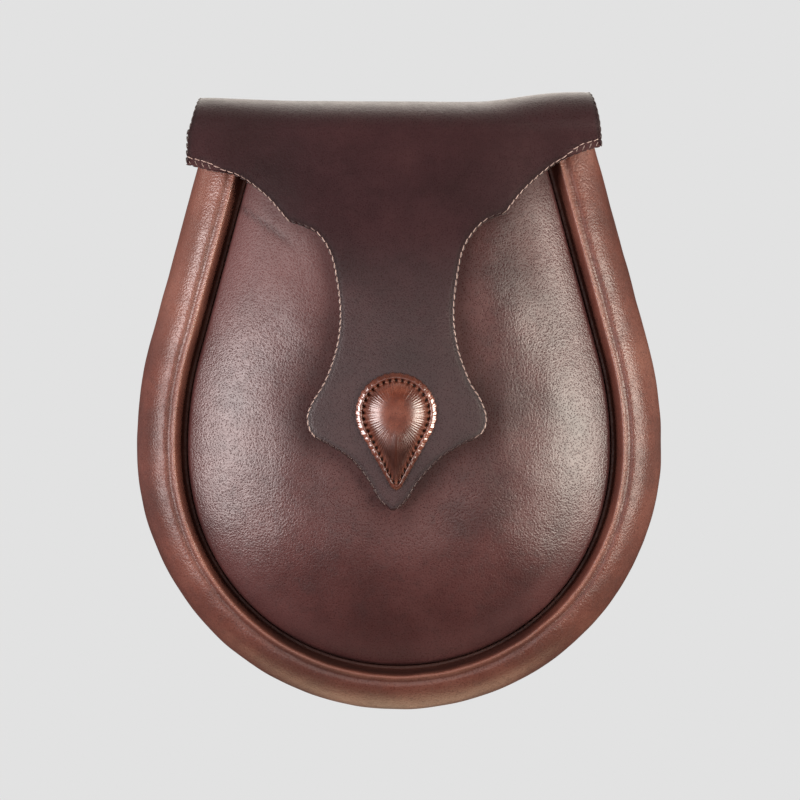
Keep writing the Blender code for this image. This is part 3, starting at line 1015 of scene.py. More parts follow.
@dataclass
class Flap:
    """The flap: over the mouth from the back, down the front, and out to a waisted tab."""

    form: PouchForm
    wall: float = 2.4 * MM
    overhang: float = 2.4 * MM
    shift: float = -1.8 * MM
    drop: float = 121.7 * MM
    fold_start: float = 2.4 * MM
    fold_reach: float = 12.1 * MM
    fold_tilt: float = float(np.radians(13.0))
    lift_left: float = 1.3 * MM
    lift_right: float = 3.4 * MM
    waist: float = 0.92
    ease: float = 3.0 * MM
    droop: float = 1.5 * MM
    back_width: float = 88.0 * MM
    back_length: float = 72.0 * MM
    back_plane: float = 9.5 * MM
    stud_room: float = 1.8 * MM
    stud_radius: float = 6.0 * MM
    boss_radius: float = 13.1 * MM
    boss_length: float = 37.9 * MM
    boss_tip: float = 0.947
    pitch: float = 2.3 * MM
    band: float = 1.9 * MM
    columns: int = 64
    substeps: int = 22
    leaf_rows: int = 37
    fold_rows: int = 48
    hem_rows: int = 40
    map_step: float = 0.5 * MM
    map_blurs: int = 8
    outline: list = field(
        default_factory=lambda: [
            # station, left reach, left drop, right reach, right drop, sharp
            ("fold end", 1.000, 0.000, 1.006, 0.000, True),
            ("corner", 1.004, 0.084, 1.010, 0.035, True),
            ("brim", 0.882, 0.101, 0.895, 0.055, False),
            ("wing", 0.752, 0.117, 0.771, 0.088, False),
            ("wing low", 0.613, 0.170, 0.626, 0.155, False),
            ("notch", 0.505, 0.236, 0.535, 0.216, True),
            ("shoulder", 0.433, 0.250, 0.457, 0.232, False),
            ("shoulder bend", 0.367, 0.270, 0.397, 0.260, False),
            ("shoulder low", 0.316, 0.310, 0.346, 0.302, False),
            ("neck top", 0.286, 0.361, 0.318, 0.357, False),
            ("neck", 0.259, 0.472, 0.294, 0.468, False),
            ("neck low", 0.274, 0.565, 0.309, 0.562, False),
            ("tab flare", 0.328, 0.654, 0.366, 0.655, False),
            ("tab side", 0.395, 0.717, 0.423, 0.708, False),
            ("tab corner", 0.417, 0.759, 0.450, 0.760, False),
            ("tab under", 0.390, 0.802, 0.422, 0.800, False),
            ("ogee", 0.304, 0.829, 0.326, 0.828, False),
            ("ogee low", 0.199, 0.868, 0.220, 0.866, False),
            ("tip side", 0.117, 0.925, 0.122, 0.924, False),
            ("tip bend", 0.068, 0.972, 0.066, 0.972, False),
            ("tip", 0.012, 1.000, 0.012, 1.000, True),
        ]
    )

    @property
    def top(self) -> float:
        """Place up at which the fold ends and the front starts."""
        return self.form.side_rise + self.fold_start

    @property
    def boss_centre(self) -> Array:
        """Middle of the round end of the boss, across and up."""
        tip = self.top - self.drop * self.boss_tip
        return np.array([self.shift / 2, tip + self.boss_length - self.boss_radius])

    def stud_lift(self, y: Array) -> Array:
        """Rise of the tab over the stud, by smooth steps up and partly down again.

        Args:
            y: Places up.

        Returns:
            Heights to add.
        """
        middle = self.boss_centre[1]
        start, end = middle + 4 * self.boss_radius, middle + self.stud_radius
        low = middle - self.stud_radius
        rise = smooth_step((start - y) / (start - end))
        fall = smooth_step((low - y) / (low - self.top + self.drop))
        return self.stud_room * (rise - 0.6 * fall)

    def __post_init__(self) -> None:
        """Stretches the underside over the pouch once, on a grid half a millimetre apart.

        The leather rests on the higher of dome and roll. It is blurred again and again while
        the high spots hold it up, so that it spans the groove and the mouth in one sweep.
        """
        self.map_x = np.arange(-152, 153) * self.map_step
        self.map_y = np.arange(-60, 245) * self.map_step
        tight = self._tight(*np.meshgrid(self.map_x, self.map_y))
        spanned = tight
        for _ in range(self.map_blurs):
            spanned = blurred(np.maximum(spanned, tight), 6.0)
        self.map = blurred(np.maximum(spanned, tight - 0.1 * MM), 2.0)

    def _tight(self, x: Array, y: Array) -> Array:
        """Height of the underside where it clings: a soft maximum of dome and crown, and a gap.

        Args:
            x: Places across.
            y: Places up, from the centre of the bottom circle.

        Returns:
            Heights.
        """
        form = self.form
        crown = form.roll_height(form.roll_depth + form.ridge_rise, y - form.crown)
        dome = form.dome_height(x, y)
        seat = (dome + crown) / 2 + np.hypot(dome - crown, self.ease) / 2
        past = np.maximum(0.0, np.abs(x) - (form.half_width(y) - form.crown)) / form.crown
        return seat + form.gap - self.droop * np.minimum(past, 1.4) ** 2

    def seat(self, x: Array, y: Array) -> Array:
        """Height of the stretched underside, by linear steps in its grid, and the stud's lift.

        Args:
            x: Places across.
            y: Places up, from the centre of the bottom circle.

        Returns:
            Heights.
        """
        column = np.clip((x - self.map_x[0]) / self.map_step, 0.0, len(self.map_x) - 1.001)
        row = np.clip((y - self.map_y[0]) / self.map_step, 0.0, len(self.map_y) - 1.001)
        i, j = row.astype(int), column.astype(int)
        u, v = row - i, column - j
        low = self.map[i, j] * (1 - v) + self.map[i, j + 1] * v
        high = self.map[i + 1, j] * (1 - v) + self.map[i + 1, j + 1] * v
        return low * (1 - u) + high * u + self.stud_lift(y)

    def edges(self) -> Array:
        """Both edges below the fold: smooth curves through the stations, bent at sharp ones.

        Returns:
            Rows of left x, left y, right x and right y.
        """
        near = np.array(self.top - 0.06 * self.drop)
        half = float(self.form.half_width(near)) + self.overhang
        table = np.array([row[1:5] for row in self.outline])
        columns = np.column_stack(
            [
                self.shift - half * table[:, 0],
                self.top - self.drop * table[:, 1],
                self.shift + half * table[:, 2],
                self.top - self.drop * table[:, 3],
            ]
        )
        sharp = [i for i, row in enumerate(self.outline) if row[5]]
        parts = [
            catmull_rom(columns[a : b + 1], self.substeps)[:-1]
            for a, b in zip(sharp[:-1], sharp[1:])
        ]
        return np.vstack(parts + [columns[-1:]])

    def sheet(self) -> tuple[Array, int]:
        """Underside of the flap as a grid: back leaf, fold, then the front in matched rows.

        The fold runs round an ellipse, its reach growing towards both ends. The front rows
        run straight from the left to the right edge and lie at the height of the seat.

        Returns:
            Points by row and column, and the number of rows before the front.
        """
        edges = self.edges()
        share = self._shares(edges[:1, 2:3] - edges[:1, 0:1])[0]
        across = 2 * share - 1.0
        back, rise = self.back_plane - self.form.gap, self.form.side_rise
        leaf = np.linspace(rise - self.back_length, rise, self.leaf_rows)[:, None]
        flat = across[None] * self.back_width / 2
        rows = [np.stack(np.broadcast_arrays(flat, leaf, back), -1)]
        wide = edges[0, 0] + (edges[0, 2] - edges[0, 0]) * share
        front = self.seat(wide, np.full_like(wide, self.top))
        last = np.pi - self.fold_tilt
        angle = np.linspace(0.0, last, self.fold_rows + 1)[:-1, None]
        turned = (1.0 - np.cos(angle)) / (1.0 - np.cos(last))
        full = np.where(across < 0, 0.5, 0.9)
        waist = np.where(across < 0, self.waist, self.waist - 0.015)
        width = 1.0 - (1.0 - waist) * (1.0 - turned) ** full
        ends = smooth_step((np.abs(across) - 0.42) / 0.5)
        lift = ends * np.where(across < 0, self.lift_left, self.lift_right)
        reach = (self.fold_reach - self.wall + lift)[None]
        begin = rise + 4 * self.form.gap
        start = begin + (self.top - reach * np.sin(last) - begin) * angle / last
        fold = [self.shift + (wide - self.shift)[None] * width]
        fold += [start + reach * np.sin(angle), back + (front - back)[None] * turned]
        rows.append(np.stack(fold, -1))
        share = self._shares(edges[:, 2:3] - edges[:, 0:1])
        x = edges[:, :1] + (edges[:, 2:3] - edges[:, :1]) * share
        y = edges[:, 1:2] + (edges[:, 3:4] - edges[:, 1:2]) * share
        rows.append(np.stack([x, y, self.seat(x, y)], -1))
        return np.vstack(rows), len(rows[0]) + len(fold[0])

    def _shares(self, width: Array) -> Array:
        """Places of the columns as shares of each row: set distances at both edges, even between.

        Args:
            width: Width of each row, as a column.

        Returns:
            Shares from 0 to 1 by row and column.
        """
        beside = np.array([0.0, 0.14, 0.28, 0.42, 0.57, 0.73, 0.92, 1.15, 1.5, 2.0, 2.8]) * MM
        near = beside * np.minimum(1.0 / width, 0.44 / beside[-1])
        even = np.linspace(0.0, 1.0, self.columns - 2 * len(beside) + 3)[1:-1]
        between = near[:, -1:] + (1.0 - 2 * near[:, -1:]) * even
        return np.hstack([near, between, 1.0 - near[:, ::-1]])

    def edge_distance(self, grid: Array, front: int) -> tuple[Array, Array, Array]:
        """Distance of each point from the free edge, and where along it the nearest spot is.

        Behind the fold it is the distance to the ends of the point's own row or to the hem.
        On the front it is the distance to the nearest segment of the outline.

        Args:
            grid: Points of the sheet.
            front: Number of rows before the front.

        Returns:
            Distance, arc length along the nearer edge, and the row of the nearest spot.
        """
        batch = 4000
        step = np.linalg.norm(np.diff(grid, axis=0), axis=-1)
        run = np.vstack([np.zeros((1, grid.shape[1])), np.cumsum(step, axis=0)])
        left = np.linalg.norm(grid - grid[:, :1], axis=-1)
        right = np.linalg.norm(grid - grid[:, -1:], axis=-1)
        away = np.minimum(left, right)
        along = np.where(left < right, run[:, :1], run[:, -1:])
        row = np.broadcast_to(np.arange(float(len(grid)))[:, None], along.shape).copy()
        hem = grid[:, :, 1] - grid[0, 0, 1]
        away[: self.leaf_rows] = np.minimum(away, hem)[: self.leaf_rows]
        for side in (0, -1):
            line = grid[front:, side, :2]
            a, b = line[:-1], line[1:]
            spots = grid[front:, :, :2].reshape(-1, 1, 2)
            near = np.full(len(spots), np.inf)
            place = np.zeros(len(spots))
            for begin in range(0, len(spots), batch):
                part = spots[begin : begin + batch]
                t = ((part - a) * (b - a)).sum(-1) / np.maximum(((b - a) ** 2).sum(-1), 1e-14)
                t = np.clip(t, 0.0, 1.0)
                gap = np.linalg.norm(part - a - t[..., None] * (b - a), axis=-1)
                best = gap.argmin(1)
                pick = np.arange(len(part)), best
                near[begin : begin + batch] = gap[pick]
                place[begin : begin + batch] = best + t[pick]
            near = near.reshape(away[front:].shape)
            where = np.interp(place, np.arange(len(line)), run[front:, side])
            closer = near <= away[front:]
            along[front:] = np.where(closer, where.reshape(near.shape), along[front:])
            row[front:] = np.where(closer, front + place.reshape(near.shape), row[front:])
            away[front:] = np.where(closer, near, away[front:])
        tip = np.linalg.norm(grid[front:, :, :2] - grid[-1:, :, :2], axis=-1)
        away[front:] = np.minimum(away[front:], tip)
        return away, along, row

    def banded(self, row: Array, front: int) -> Array:
        """Where the cut edge shows as a band, by a smooth step up and one down.

        Args:
            row: Row of the nearest spot of the edge.
            front: Number of rows before the front.

        Returns:
            1 from corner to brim, 0 past the wing.
        """
        corner = front + self.substeps
        start = smooth_step((row - corner + 1.5) / 3.0)
        return start * (1.0 - smooth_step((row - corner - 0.7 * self.substeps) / self.substeps))

    def build(self) -> list[bpy.types.Object]:
        """Gives the sheet its wall, with a rubbed round edge that the thread has scalloped.

        Returns:
            The flap and its threads.
        """
        grid, front = self.sheet()
        away, along, row = self.edge_distance(grid, front)
        up = grid_normals(grid)
        outside = up * np.where(up[front + 40, self.columns // 2, 2] < 0, -1.0, 1.0)
        wave = 0.5 - 0.5 * np.cos(2 * np.pi * along / self.pitch)
        middle = grid + outside * self.wall / 2
        swell = HandUnevenness(12, 30.0 * MM, 0.14 * MM).at(grid[..., 0], grid[..., 1])
        middle = middle + outside * (swell * smooth_step(away / (12 * MM)))[..., None]
        inward = grid[:, self.columns // 2][:, None] - grid
        inward /= np.maximum(np.linalg.norm(inward, axis=-1, keepdims=True), 1e-9)
        notch = (0.30 * MM * (1.0 - wave) * np.exp(-away / (0.8 * MM)))[..., None]
        middle = middle + inward * notch
        edge = away < 1e-7
        round_over = 1.0 - np.clip(away / (0.95 * MM), 0.0, 1.0)
        half = (self.wall / 2) * np.sqrt(np.clip(1.0 - round_over**2, 0.0, 1.0))
        under = np.where(edge, 0.0, np.maximum(half, 0.02 * MM))
        band = self.banded(row, front)
        bevel = (self.wall / 2) * np.clip(away / (self.band + 0.4 * MM), 0.02, 1.0)
        press = bell(away, 1.1 * MM + self.band * band, 0.5 * MM)
        half = half * (1.0 - band) + bevel * band - 0.10 * MM * press
        over = np.where(edge, 0.0, np.maximum(half, 0.02 * MM))
        upper = middle + outside * over[..., None]
        lower = middle - outside * under[..., None]
        rows, columns = grid.shape[:2]
        quads = grid_quads(rows, columns)
        points = self.form.placed(*np.moveaxis(np.stack([upper, lower]), -1, 0))
        faces = quads[:, ::-1].tolist() + (quads + rows * columns).tolist()
        values = self.wear_dirt_and_painted_light(grid[..., 1], away, wave, band, press)
        layers = {key: np.stack([value, 0 * value]) for key, value in values.items()}
        finish = Hide.FLAP.value.material()
        flap = make_piece("flap_leather", points, faces, finish, layers, weld=True)
        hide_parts("flap")
        return [flap, self.thread(grid + outside * self.wall / 2, outside, front)]

    def wear_dirt_and_painted_light(
        self, y: Array, away: Array, wave: Array, band: Array, press: Array
    ) -> dict[str, Array]:
        """Where the flap is worn, dirty, dull, or lightened as painted light.

        The edge is rubbed between stitches and over its cut band, and dirty in the line that the
        thread presses. Just below the top of the fold it is lightened as painted light. The front
        is dull above the boss, and the fold is polished.

        Args:
            y: Places up.
            away: Distance from the free edge.
            wave: 1 between two stitches, 0 at them.
            band: How far the cut edge shows as a band.
            press: 1 in the line pressed by the thread, 0 away from it.

        Returns:
            Attribute name to one value for each point of the upper side.
        """
        cut = band * smooth_step(1.4 - away / self.band)
        wear_and_light = 0.20 * np.exp(-away / (0.6 * MM)) * wave + 0.8 * cut
        # Painted light: a band just below the top of the fold is lightened.
        wear_and_light = wear_and_light + 0.12 * smooth_step((y - self.top + 13 * MM) / (9 * MM))
        dirt_and_shade = 0.5 * press + 0.3 * np.exp(-away / (0.5 * MM)) * (1.0 - cut)
        fold = smooth_step((y - self.top + 1 * MM) / (6 * MM))
        matt = 0.9 * smooth_step((y - 38 * MM) / (34 * MM)) * (1.0 - 1.1 * fold)
        return {"wear_and_light": wear_and_light, "dirt_and_shade": dirt_and_shade, "matt": matt}

    def thread(self, middle: Array, outside: Array, front: int) -> bpy.types.Object:
        """Overcast stitches along both arrises of the edge, and across its band.

        Args:
            middle: Points of the middle of the wall.
            outside: Unit normals there.
            front: Number of rows before the front.

        Returns:
            The thread.
        """
        parts = []
        place = np.arange(len(middle), dtype=float)
        for side, beside in ((0, 3), (-1, -4)):
            begin = self.hem_rows
            line = self.form.placed(*np.moveaxis(middle[begin:-2, side], -1, 0))
            inside = middle[begin:-2, beside] - middle[begin:-2, side]
            both = np.hstack([line, outside[begin:-2, side], inside, place[begin:-2, None]])
            length = arc_length(line)
            wanted = np.arange(0.5 * self.pitch, length[-1] - 0.4 * self.pitch, self.pitch)
            at, ahead, behind = (
                np.column_stack([np.interp(wanted + shift, length, both[:, i]) for i in range(10)])
                for shift in (0.0, 0.5 * MM, -0.5 * MM)
            )
            run, up = unit(ahead[:, :3] - behind[:, :3]), unit(at[:, 3:6])
            out = np.cross(run, up)
            out *= -np.sign((out * at[:, 6:9]).sum(1))[:, None]
            band = self.banded(at[:, 9], front)[:, None]
            below = at[:, 9] > front + 0.9 * self.substeps
            # Painted glint: the stitch on top takes the pale colour where its edge faces left or
            # right towards the side lights, and near the wings; low on the tab it stays dark.
            painted_glint = smooth_step((np.abs(out[:, 0]) - 0.35) / 0.35) * below
            wing = smooth_step((front + 3.6 * self.substeps - at[:, 9]) / self.substeps)
            painted_glint = np.maximum(painted_glint, wing * below)
            low = smooth_step((at[:, 9] - front - 15.2 * self.substeps) / self.substeps)
            parts.append(self._stitches(at[:, :3], run, up, out, band, painted_glint * (1.0 - 0.9 * low)))
        spots, runs, ups, sizes, rubbed = (np.concatenate(column) for column in zip(*parts))
        row = StitchRow("flap_edge_thread", self.pitch, 0.155 * MM, 0.14 * MM)
        return row.build(spots, runs, ups, Hide.EDGE_THREAD, "flap_leather", sizes, rubbed)

    def _stitches(
        self, at: Array, run: Array, up: Array, out: Array, band: Array, painted_glint: Array
    ) -> tuple:
        """Stitches at every spot of one edge: one above, one below and one across the band.

        Args:
            at: Middle of the edge at each spot.
            run: Unit direction along the edge.
            up: Unit direction out of the leather.
            out: Unit direction away from the leather, in its plane.
            band: How far the edge shows as a band.
            painted_glint: How far the stitch on top is pale, a painted glint where its edge faces
                the side lights and near the wings.

        Returns:
            Middles, directions, ways up, lengths and paleness of all stitches.
        """
        half = self.wall / 2
        over = at + up * (half - 0.12 * MM) - out * (0.42 * MM + (self.band - 0.1 * MM) * band)
        below = at - up * (0.45 * MM) + out * (0.02 * MM)
        cross = at + up * (0.5 * half) - out * (0.5 * self.band)
        picked = band[:, 0] > 0.35
        lean = [run + out * 0.13, run - out * 0.1, (out * 0.9 - up * 0.45 + run * 0.7)[picked]]
        sides = [up * 0.9 + out * 0.4, out * 0.95 - up * 0.3, (up * 0.9 + out * 0.45)[picked]]
        lengths = [np.full(len(at), 0.94), np.full(len(at), 0.9), np.full(picked.sum(), 0.85)]
        pale = [painted_glint, 0.08 * painted_glint, np.full(picked.sum(), 0.45)]
        spots = [over, below, cross[picked]]
        joined = [np.vstack(part) for part in (spots, lean, sides)]
        joined[1:] = [unit(vectors) for vectors in joined[1:]]
        return (*joined, np.concatenate(lengths), np.concatenate(pale))


@dataclass
class FrontPanel:
    """The domed front, drawn over a former, with the marks that the wet leather kept."""

    form: PouchForm
    flap: Flap
    wall: float = 2.2 * MM
    hem: float = 4.0 * MM
    edge_round: float = 0.9 * MM
    rings: int = 80
    edge_rings: int = 14
    lip: float = 1.2 * MM
    shadow_reach: float = 9.0 * MM

    def build(self) -> list[bpy.types.Object]:
        """Rings from the crest to the edge: the edge scaled by a share, raised by the dome.

        Returns:
            The panel.
        """
        form = self.form
        edge, seam = form.panel_edge()
        share = np.linspace(0.004, 0.97, self.rings - self.edge_rings)
        near_edge = np.linspace(1.0, 0.0, self.edge_rings + 1)[1:]
        share = np.append(share, 1.0 - 0.03 * near_edge**1.3)
        centre = np.array([0.0, form.dome_centre])
        flat = centre + (edge - centre)[None] * share[:, None, None]
        x, y = flat[..., 0], flat[..., 1]
        fade = 1.0 - share[:, None] ** 6
        height = form.dome_height(x, y) + fade * self.marks(x, y)
        inside = (1.0 - share)[:, None] * np.linalg.norm(edge - centre, axis=1)
        curl = np.clip(1.0 - inside / self.edge_round, 0.0, 1.0) * (np.arange(len(edge)) < seam)
        height = height - self.edge_round * (1.0 - np.sqrt(1.0 - 0.98 * curl**2))
        points = form.placed(x, y, height)
        count = len(edge)
        quads = grid_quads(self.rings, count, wrap=True)[:, ::-1]
        skirt = points[-1, :seam].copy()
        lip = skirt.copy()
        lip[:, 2] -= self.lip
        skirt[:, 2] = form.groove_floor - self.hem
        last = (self.rings - 1) * count
        run = np.arange(seam - 1)
        first = self.rings * count
        down = np.stack([last + run, first + run, first + run + 1, last + run + 1], -1)
        second = first + seam
        hem = np.stack([first + run, second + run, second + run + 1, first + run + 1], -1)
        hub = len(points) * count + 2 * seam
        cap = [[hub, i, (i + 1) % count] for i in range(count)]
        middle = form.placed(np.array([centre[0]]), np.array([centre[1]]), points[0, :, 2].mean())
        everything = np.vstack([points.reshape(-1, 3), lip, skirt, middle])
        faces = quads.tolist() + down.tolist() + hem.tolist() + cap
        # The lip, the skirt and the crest point come after the rings: dull, and darkened as
        # painted shade in the groove and under the flap.
        hidden = {"wear_and_light": 0.0, "dirt_and_shade": 0.4, "matt": 0.8}
        layers = {
            key: np.append(value.ravel(), np.full(2 * seam + 1, hidden[key]))
            for key, value in self.wear_dirt_and_painted_light(share, x, y, inside).items()
        }
        panel = make_piece("front", everything, faces, Hide.PANEL.value.material(), layers)
        solid = panel.modifiers.new("wall", "SOLIDIFY")
        solid.thickness, solid.offset = self.wall, -1.0
        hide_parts("front_panel")
        return [panel]

    def wear_dirt_and_painted_light(self, share: Array, x: Array, y: Array, inside: Array) -> dict[str, Array]:
        """Where the panel is dirty, dull, or lightened and darkened as painted light and shade,
        from smooth steps and bells.

        The rise beside the seam and the upper left are lightened as painted sheen. Dirt lies at
        the seam. Painted shade lies beside the flap as its shadow, low in the middle and in the
        fold mark. The upper part is dull.

        Args:
            share: Share of the way out of each ring.
            x: Places across.
            y: Places up.
            inside: Distance from the edge of the panel.

        Returns:
            Attribute name to one value for each point of the rings.
        """
        # Painted sheen on the rise beside the seam.
        rubbed = np.broadcast_to(bell(share, 0.93, 0.05)[:, None], x.shape)
        dirty = smooth_step(1.0 - inside / (0.9 * MM))
        # Painted shadow of the flap beside its edge.
        beside = self.painted_flap_shadow(x, y)
        upper = smooth_step((y - 34 * MM) / (28 * MM)) * smooth_step((inside - 4 * MM) / (14 * MM))
        # Painted shade, darker low in the middle.
        lower = smooth_step((-22 * MM - y) / (45 * MM)) * bell(x, 0.0, 34 * MM)
        # Painted sheen on the upper left.
        painted_upper_left_sheen = smooth_step((y - 28 * MM) / (30 * MM)) * smooth_step(-x / (20 * MM))
        # Dirt at the seam; painted shade beside the flap, low in the middle and in the fold mark.
        return {
            "wear_and_light": 0.25 * rubbed + 0.65 * painted_upper_left_sheen,
            "dirt_and_shade": 0.3 * dirty + 0.3 * beside + 0.5 * lower + 0.5 * self.fold_mark(x, y),
            "matt": np.maximum(0.75 * beside, 0.6 * np.maximum(upper, painted_upper_left_sheen)),
        }

    def painted_flap_shadow(self, x: Array, y: Array) -> Array:
        """Painted shadow of the flap on the panel, which is also dull there: a bell of the
        distance from its edge.

        Args:
            x: Places across.
            y: Places up.

        Returns:
            1 at the edge of the flap, fading to 0 about 15 mm away.
        """
        edges = self.flap.edges()
        line = np.vstack([edges[::2, :2], edges[::2, 2:]])
        spots = np.stack([x, y], -1)
        away = np.stack([np.linalg.norm(ring[:, None] - line, axis=-1).min(1) for ring in spots])
        return bell(away, 0.0, self.shadow_reach)

    def marks(self, x: Array, y: Array) -> Array:
        """Slow swells of the former, less the fold mark.

        Args:
            x: Places across.
            y: Places up.

        Returns:
            Small heights to add.
        """
        swell = HandUnevenness(3, 34.0 * MM, 0.22 * MM).at(x, y)
        swell += HandUnevenness(4, 11.0 * MM, 0.035 * MM).at(x, y)
        return swell - 0.30 * MM * self.fold_mark(x, y)

    def fold_mark(self, x: Array, y: Array) -> Array:
        """A shallow fold below the left shoulder of the flap: a bell about a bent line.

        Args:
            x: Places across.
            y: Places up.

        Returns:
            1 in the fold, 0 away from it.
        """
        up = y + self.form.centre_y
        across = x + 53.0 * MM
        line = 63.5 * MM - 0.62 * across - 4.0 * across**2
        along = smooth_step((across + 2 * MM) / (4 * MM))
        along = along * smooth_step((21 * MM - across) / (8 * MM))
        return along * bell(up - line, 0.0, 1.1 * MM)


@dataclass
class StitchBeat:
    """The beat of the stitches round the boss: a value for each point of a ring, as a row.

    Attributes:
        turn: Way round, counted in stitches.
        uneven: How hard each stitch pulls, drawn at random and run linearly between stitches.
        hole: 1 at each hole, 0 between holes: a power of a raised cosine of the turn.
        between: 0 at each hole, 1 between holes: the cosine's complement.
        bridge: Height of the leather that stands up between two holes.
    """

    stitches: int
    samples: int
    seed: int = 21
    bridge_height: float = 0.4 * MM

    def __post_init__(self) -> None:
        """Works out the rows."""
        turn = (np.arange(self.stitches * self.samples) / self.samples)[None]
        pull = np.random.default_rng(self.seed).uniform(0.55, 1.45, self.stitches + 1)
        self.turn = turn
        self.uneven = np.interp(turn, np.arange(self.stitches + 1), pull)
        self.hole = (0.5 + 0.5 * np.cos(2 * np.pi * turn)) ** 1.6
        self.between = 0.5 - 0.5 * np.cos(2 * np.pi * turn)
        self.bridge = self.bridge_height * (1.0 - self.hole)


@dataclass
class Boss:
    """The padded teardrop on the tab: a bevelled rim, a stitched channel and a puffed middle."""

    flap: Flap
    tip_radius: float = 2.0 * MM
    inner_tip: float = 1.1 * MM
    rim_width: float = 2.7 * MM
    tip_rim: float = 2.3 * MM
    rim_height: float = 1.5 * MM
    channel: float = 1.0 * MM
    height: float = 4.9 * MM
    start: float = 0.5 * MM
    cushion: float = 1.0 * MM
    sink: float = 0.12 * MM
    crest_share: float = 0.992
    jag: float = 0.26 * MM
    pit: float = 0.8 * MM
    pucker: float = 0.24 * MM
    stitches: int = 41
    samples: int = 12
    rim_rings: int = 20
    rings: int = 44

    @property
    def within(self) -> float:
        """Radius of the round end inside the rim."""
        return self.flap.boss_radius - self.rim_width

    @property
    def rim_share(self) -> Array:
        """Share of the way across the rim, for each of its rings, as a column."""
        return np.linspace(0.0, 1.0, self.rim_rings)[:, None]

    @property
    def puff_share(self) -> Array:
        """Share of the way from the channel to just short of the crest, as a column."""
        return np.linspace(0.0, 1.0, self.rings + 1)[1:, None] * self.crest_share

    def teardrop(self, radius: float, length: float, tip: float) -> Array:
        """A circle, two tangents and a small round tip, at even arc lengths from the top.

        Args:
            radius: Radius of the circle about the origin.
            length: Length of the whole drop.
            tip: Radius of its tip.

        Returns:
            Points, as many for each drop.
        """
        reach = length - radius - tip
        flare = float(np.degrees(np.arcsin((radius - tip) / reach)))
        circle = arc((0.0, 0.0), (radius, radius), -flare, 180 + flare, 180)
        point = arc((0.0, -reach), (tip, tip), 180 + flare, 360 - flare, 24)
        line = np.vstack([circle, point])
        count = self.stitches * self.samples
        around = arc_length(np.vstack([line, line[:1]]))[-1]
        start = int(np.argmax(line[:, 1]))
        return resampled(np.roll(line, -start, axis=0), around / count, closed=True)[0][:count]

    def build(self) -> list[bpy.types.Object]:
        """Rings inwards over the rim and the puff, with a flat base and one point at the crest.

        Returns:
            The boss and its thread.
        """
        flap, form = self.flap, self.flap.form
        outer = self.teardrop(flap.boss_radius, flap.boss_length, self.tip_radius)
        length = flap.boss_length - self.rim_width - self.tip_rim
        inner = self.teardrop(self.within, length, self.inner_tip)
        beat = StitchBeat(self.stitches, self.samples)
        (rim, edge), (puffed, puff) = self._rim(outer, inner, beat), self._puff(inner, beat)
        reach, height = np.vstack([rim, puffed]), np.vstack([edge, puff])
        centre = flap.boss_centre
        x, y = centre[0] + reach[..., 0], centre[1] + reach[..., 1]
        top = np.maximum(height, 0.0) + flap.seat(x, y) + flap.wall - self.sink
        under = top[:1] - 0.05 * MM
        layers = [np.vstack([line[:1], line]) for line in (x, y)]
        points = form.placed(*layers, np.vstack([under, top]))
        rows, count = points.shape[:2]
        faces = grid_quads(rows, count, wrap=True).tolist()
        hub = rows * count
        faces += [[hub, hub - count + (i + 1) % count, hub - count + i] for i in range(count)]
        faces += [[hub + 1, i, (i + 1) % count] for i in range(count)]
        middle = form.placed(centre[:1], centre[1:], np.array([top[-1].mean()]))
        below = form.placed(centre[:1], centre[1:], flap.seat(centre[:1], centre[1:]) + flap.wall)
        everything = np.vstack([points.reshape(-1, 3), middle, below])
        attributes = {
            key: np.concatenate([np.vstack([value[:1], value]).ravel(), value[-1, :1], [0.0]])
            for key, value in self.wear_dirt_and_painted_light(reach[..., 1], beat).items()
        }
        boss = make_piece("boss", everything, faces, Hide.BOSS.value.material(), attributes)
        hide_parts("tab_boss")
        return [boss, self.thread(inner, top[self.rim_rings - 1])]

    def _rim(self, outer: Array, inner: Array, beat: StitchBeat) -> tuple[Array, Array]:
        """The rim: straight from outer to inner drop, up a quarter sine, then into the channel.

        Its outline is ragged by the stitches' pull, and each hole is a pit, a bell across.

        Args:
            outer: Outline of the boss.
            inner: Middle of the channel.
            beat: Beat of the stitches.

        Returns:
            Reach from the boss's centre, and height above the flap.
        """
        u = self.rim_share
        jag = self.jag * (beat.between * beat.uneven)[0]
        jag = jag + 0.08 * MM * np.sin(2 * np.pi * beat.turn[0] * 2.7)
        ragged = outer + unit(outer) * (jag - 0.18 * MM)[:, None]
        rim = (1 - u[..., None]) * ragged + u[..., None] * inner
        bevel = 0.5 + 0.5 * np.sin(np.pi / 2 * np.clip(u / 0.6, 0.0, 1.0))
        hump = 0.09 * MM * bell(u, 0.6, 0.2) * (beat.between - 0.4) * beat.uneven
        fall = (self.channel - beat.bridge) * smooth_step((u - 0.62) / 0.38)
        edge = self.rim_height * bevel + hump - fall
        edge = edge - self.pit * bell(u, 0.97, 0.16) * beat.hole
        edge[0] = 0.0
        return rim, edge

    def _puckers(self, beat: StitchBeat) -> tuple[Array, Array]:
        """Puckers of the puff: cosines of the turn that fade inwards from the channel.

        Args:
            beat: Beat of the stitches.

        Returns:
            The ripple round each ring, and its strength on each ring.
        """
        away = self.puff_share * self.within
        ripple = np.cos(4 * np.pi * beat.turn + 1.1 * np.sin(beat.turn))
        ripple = ripple + 0.8 * np.cos(2 * np.pi * beat.turn)
        return ripple, np.minimum(away / (0.8 * MM), 1.0) * np.exp(-away / (1.5 * MM))

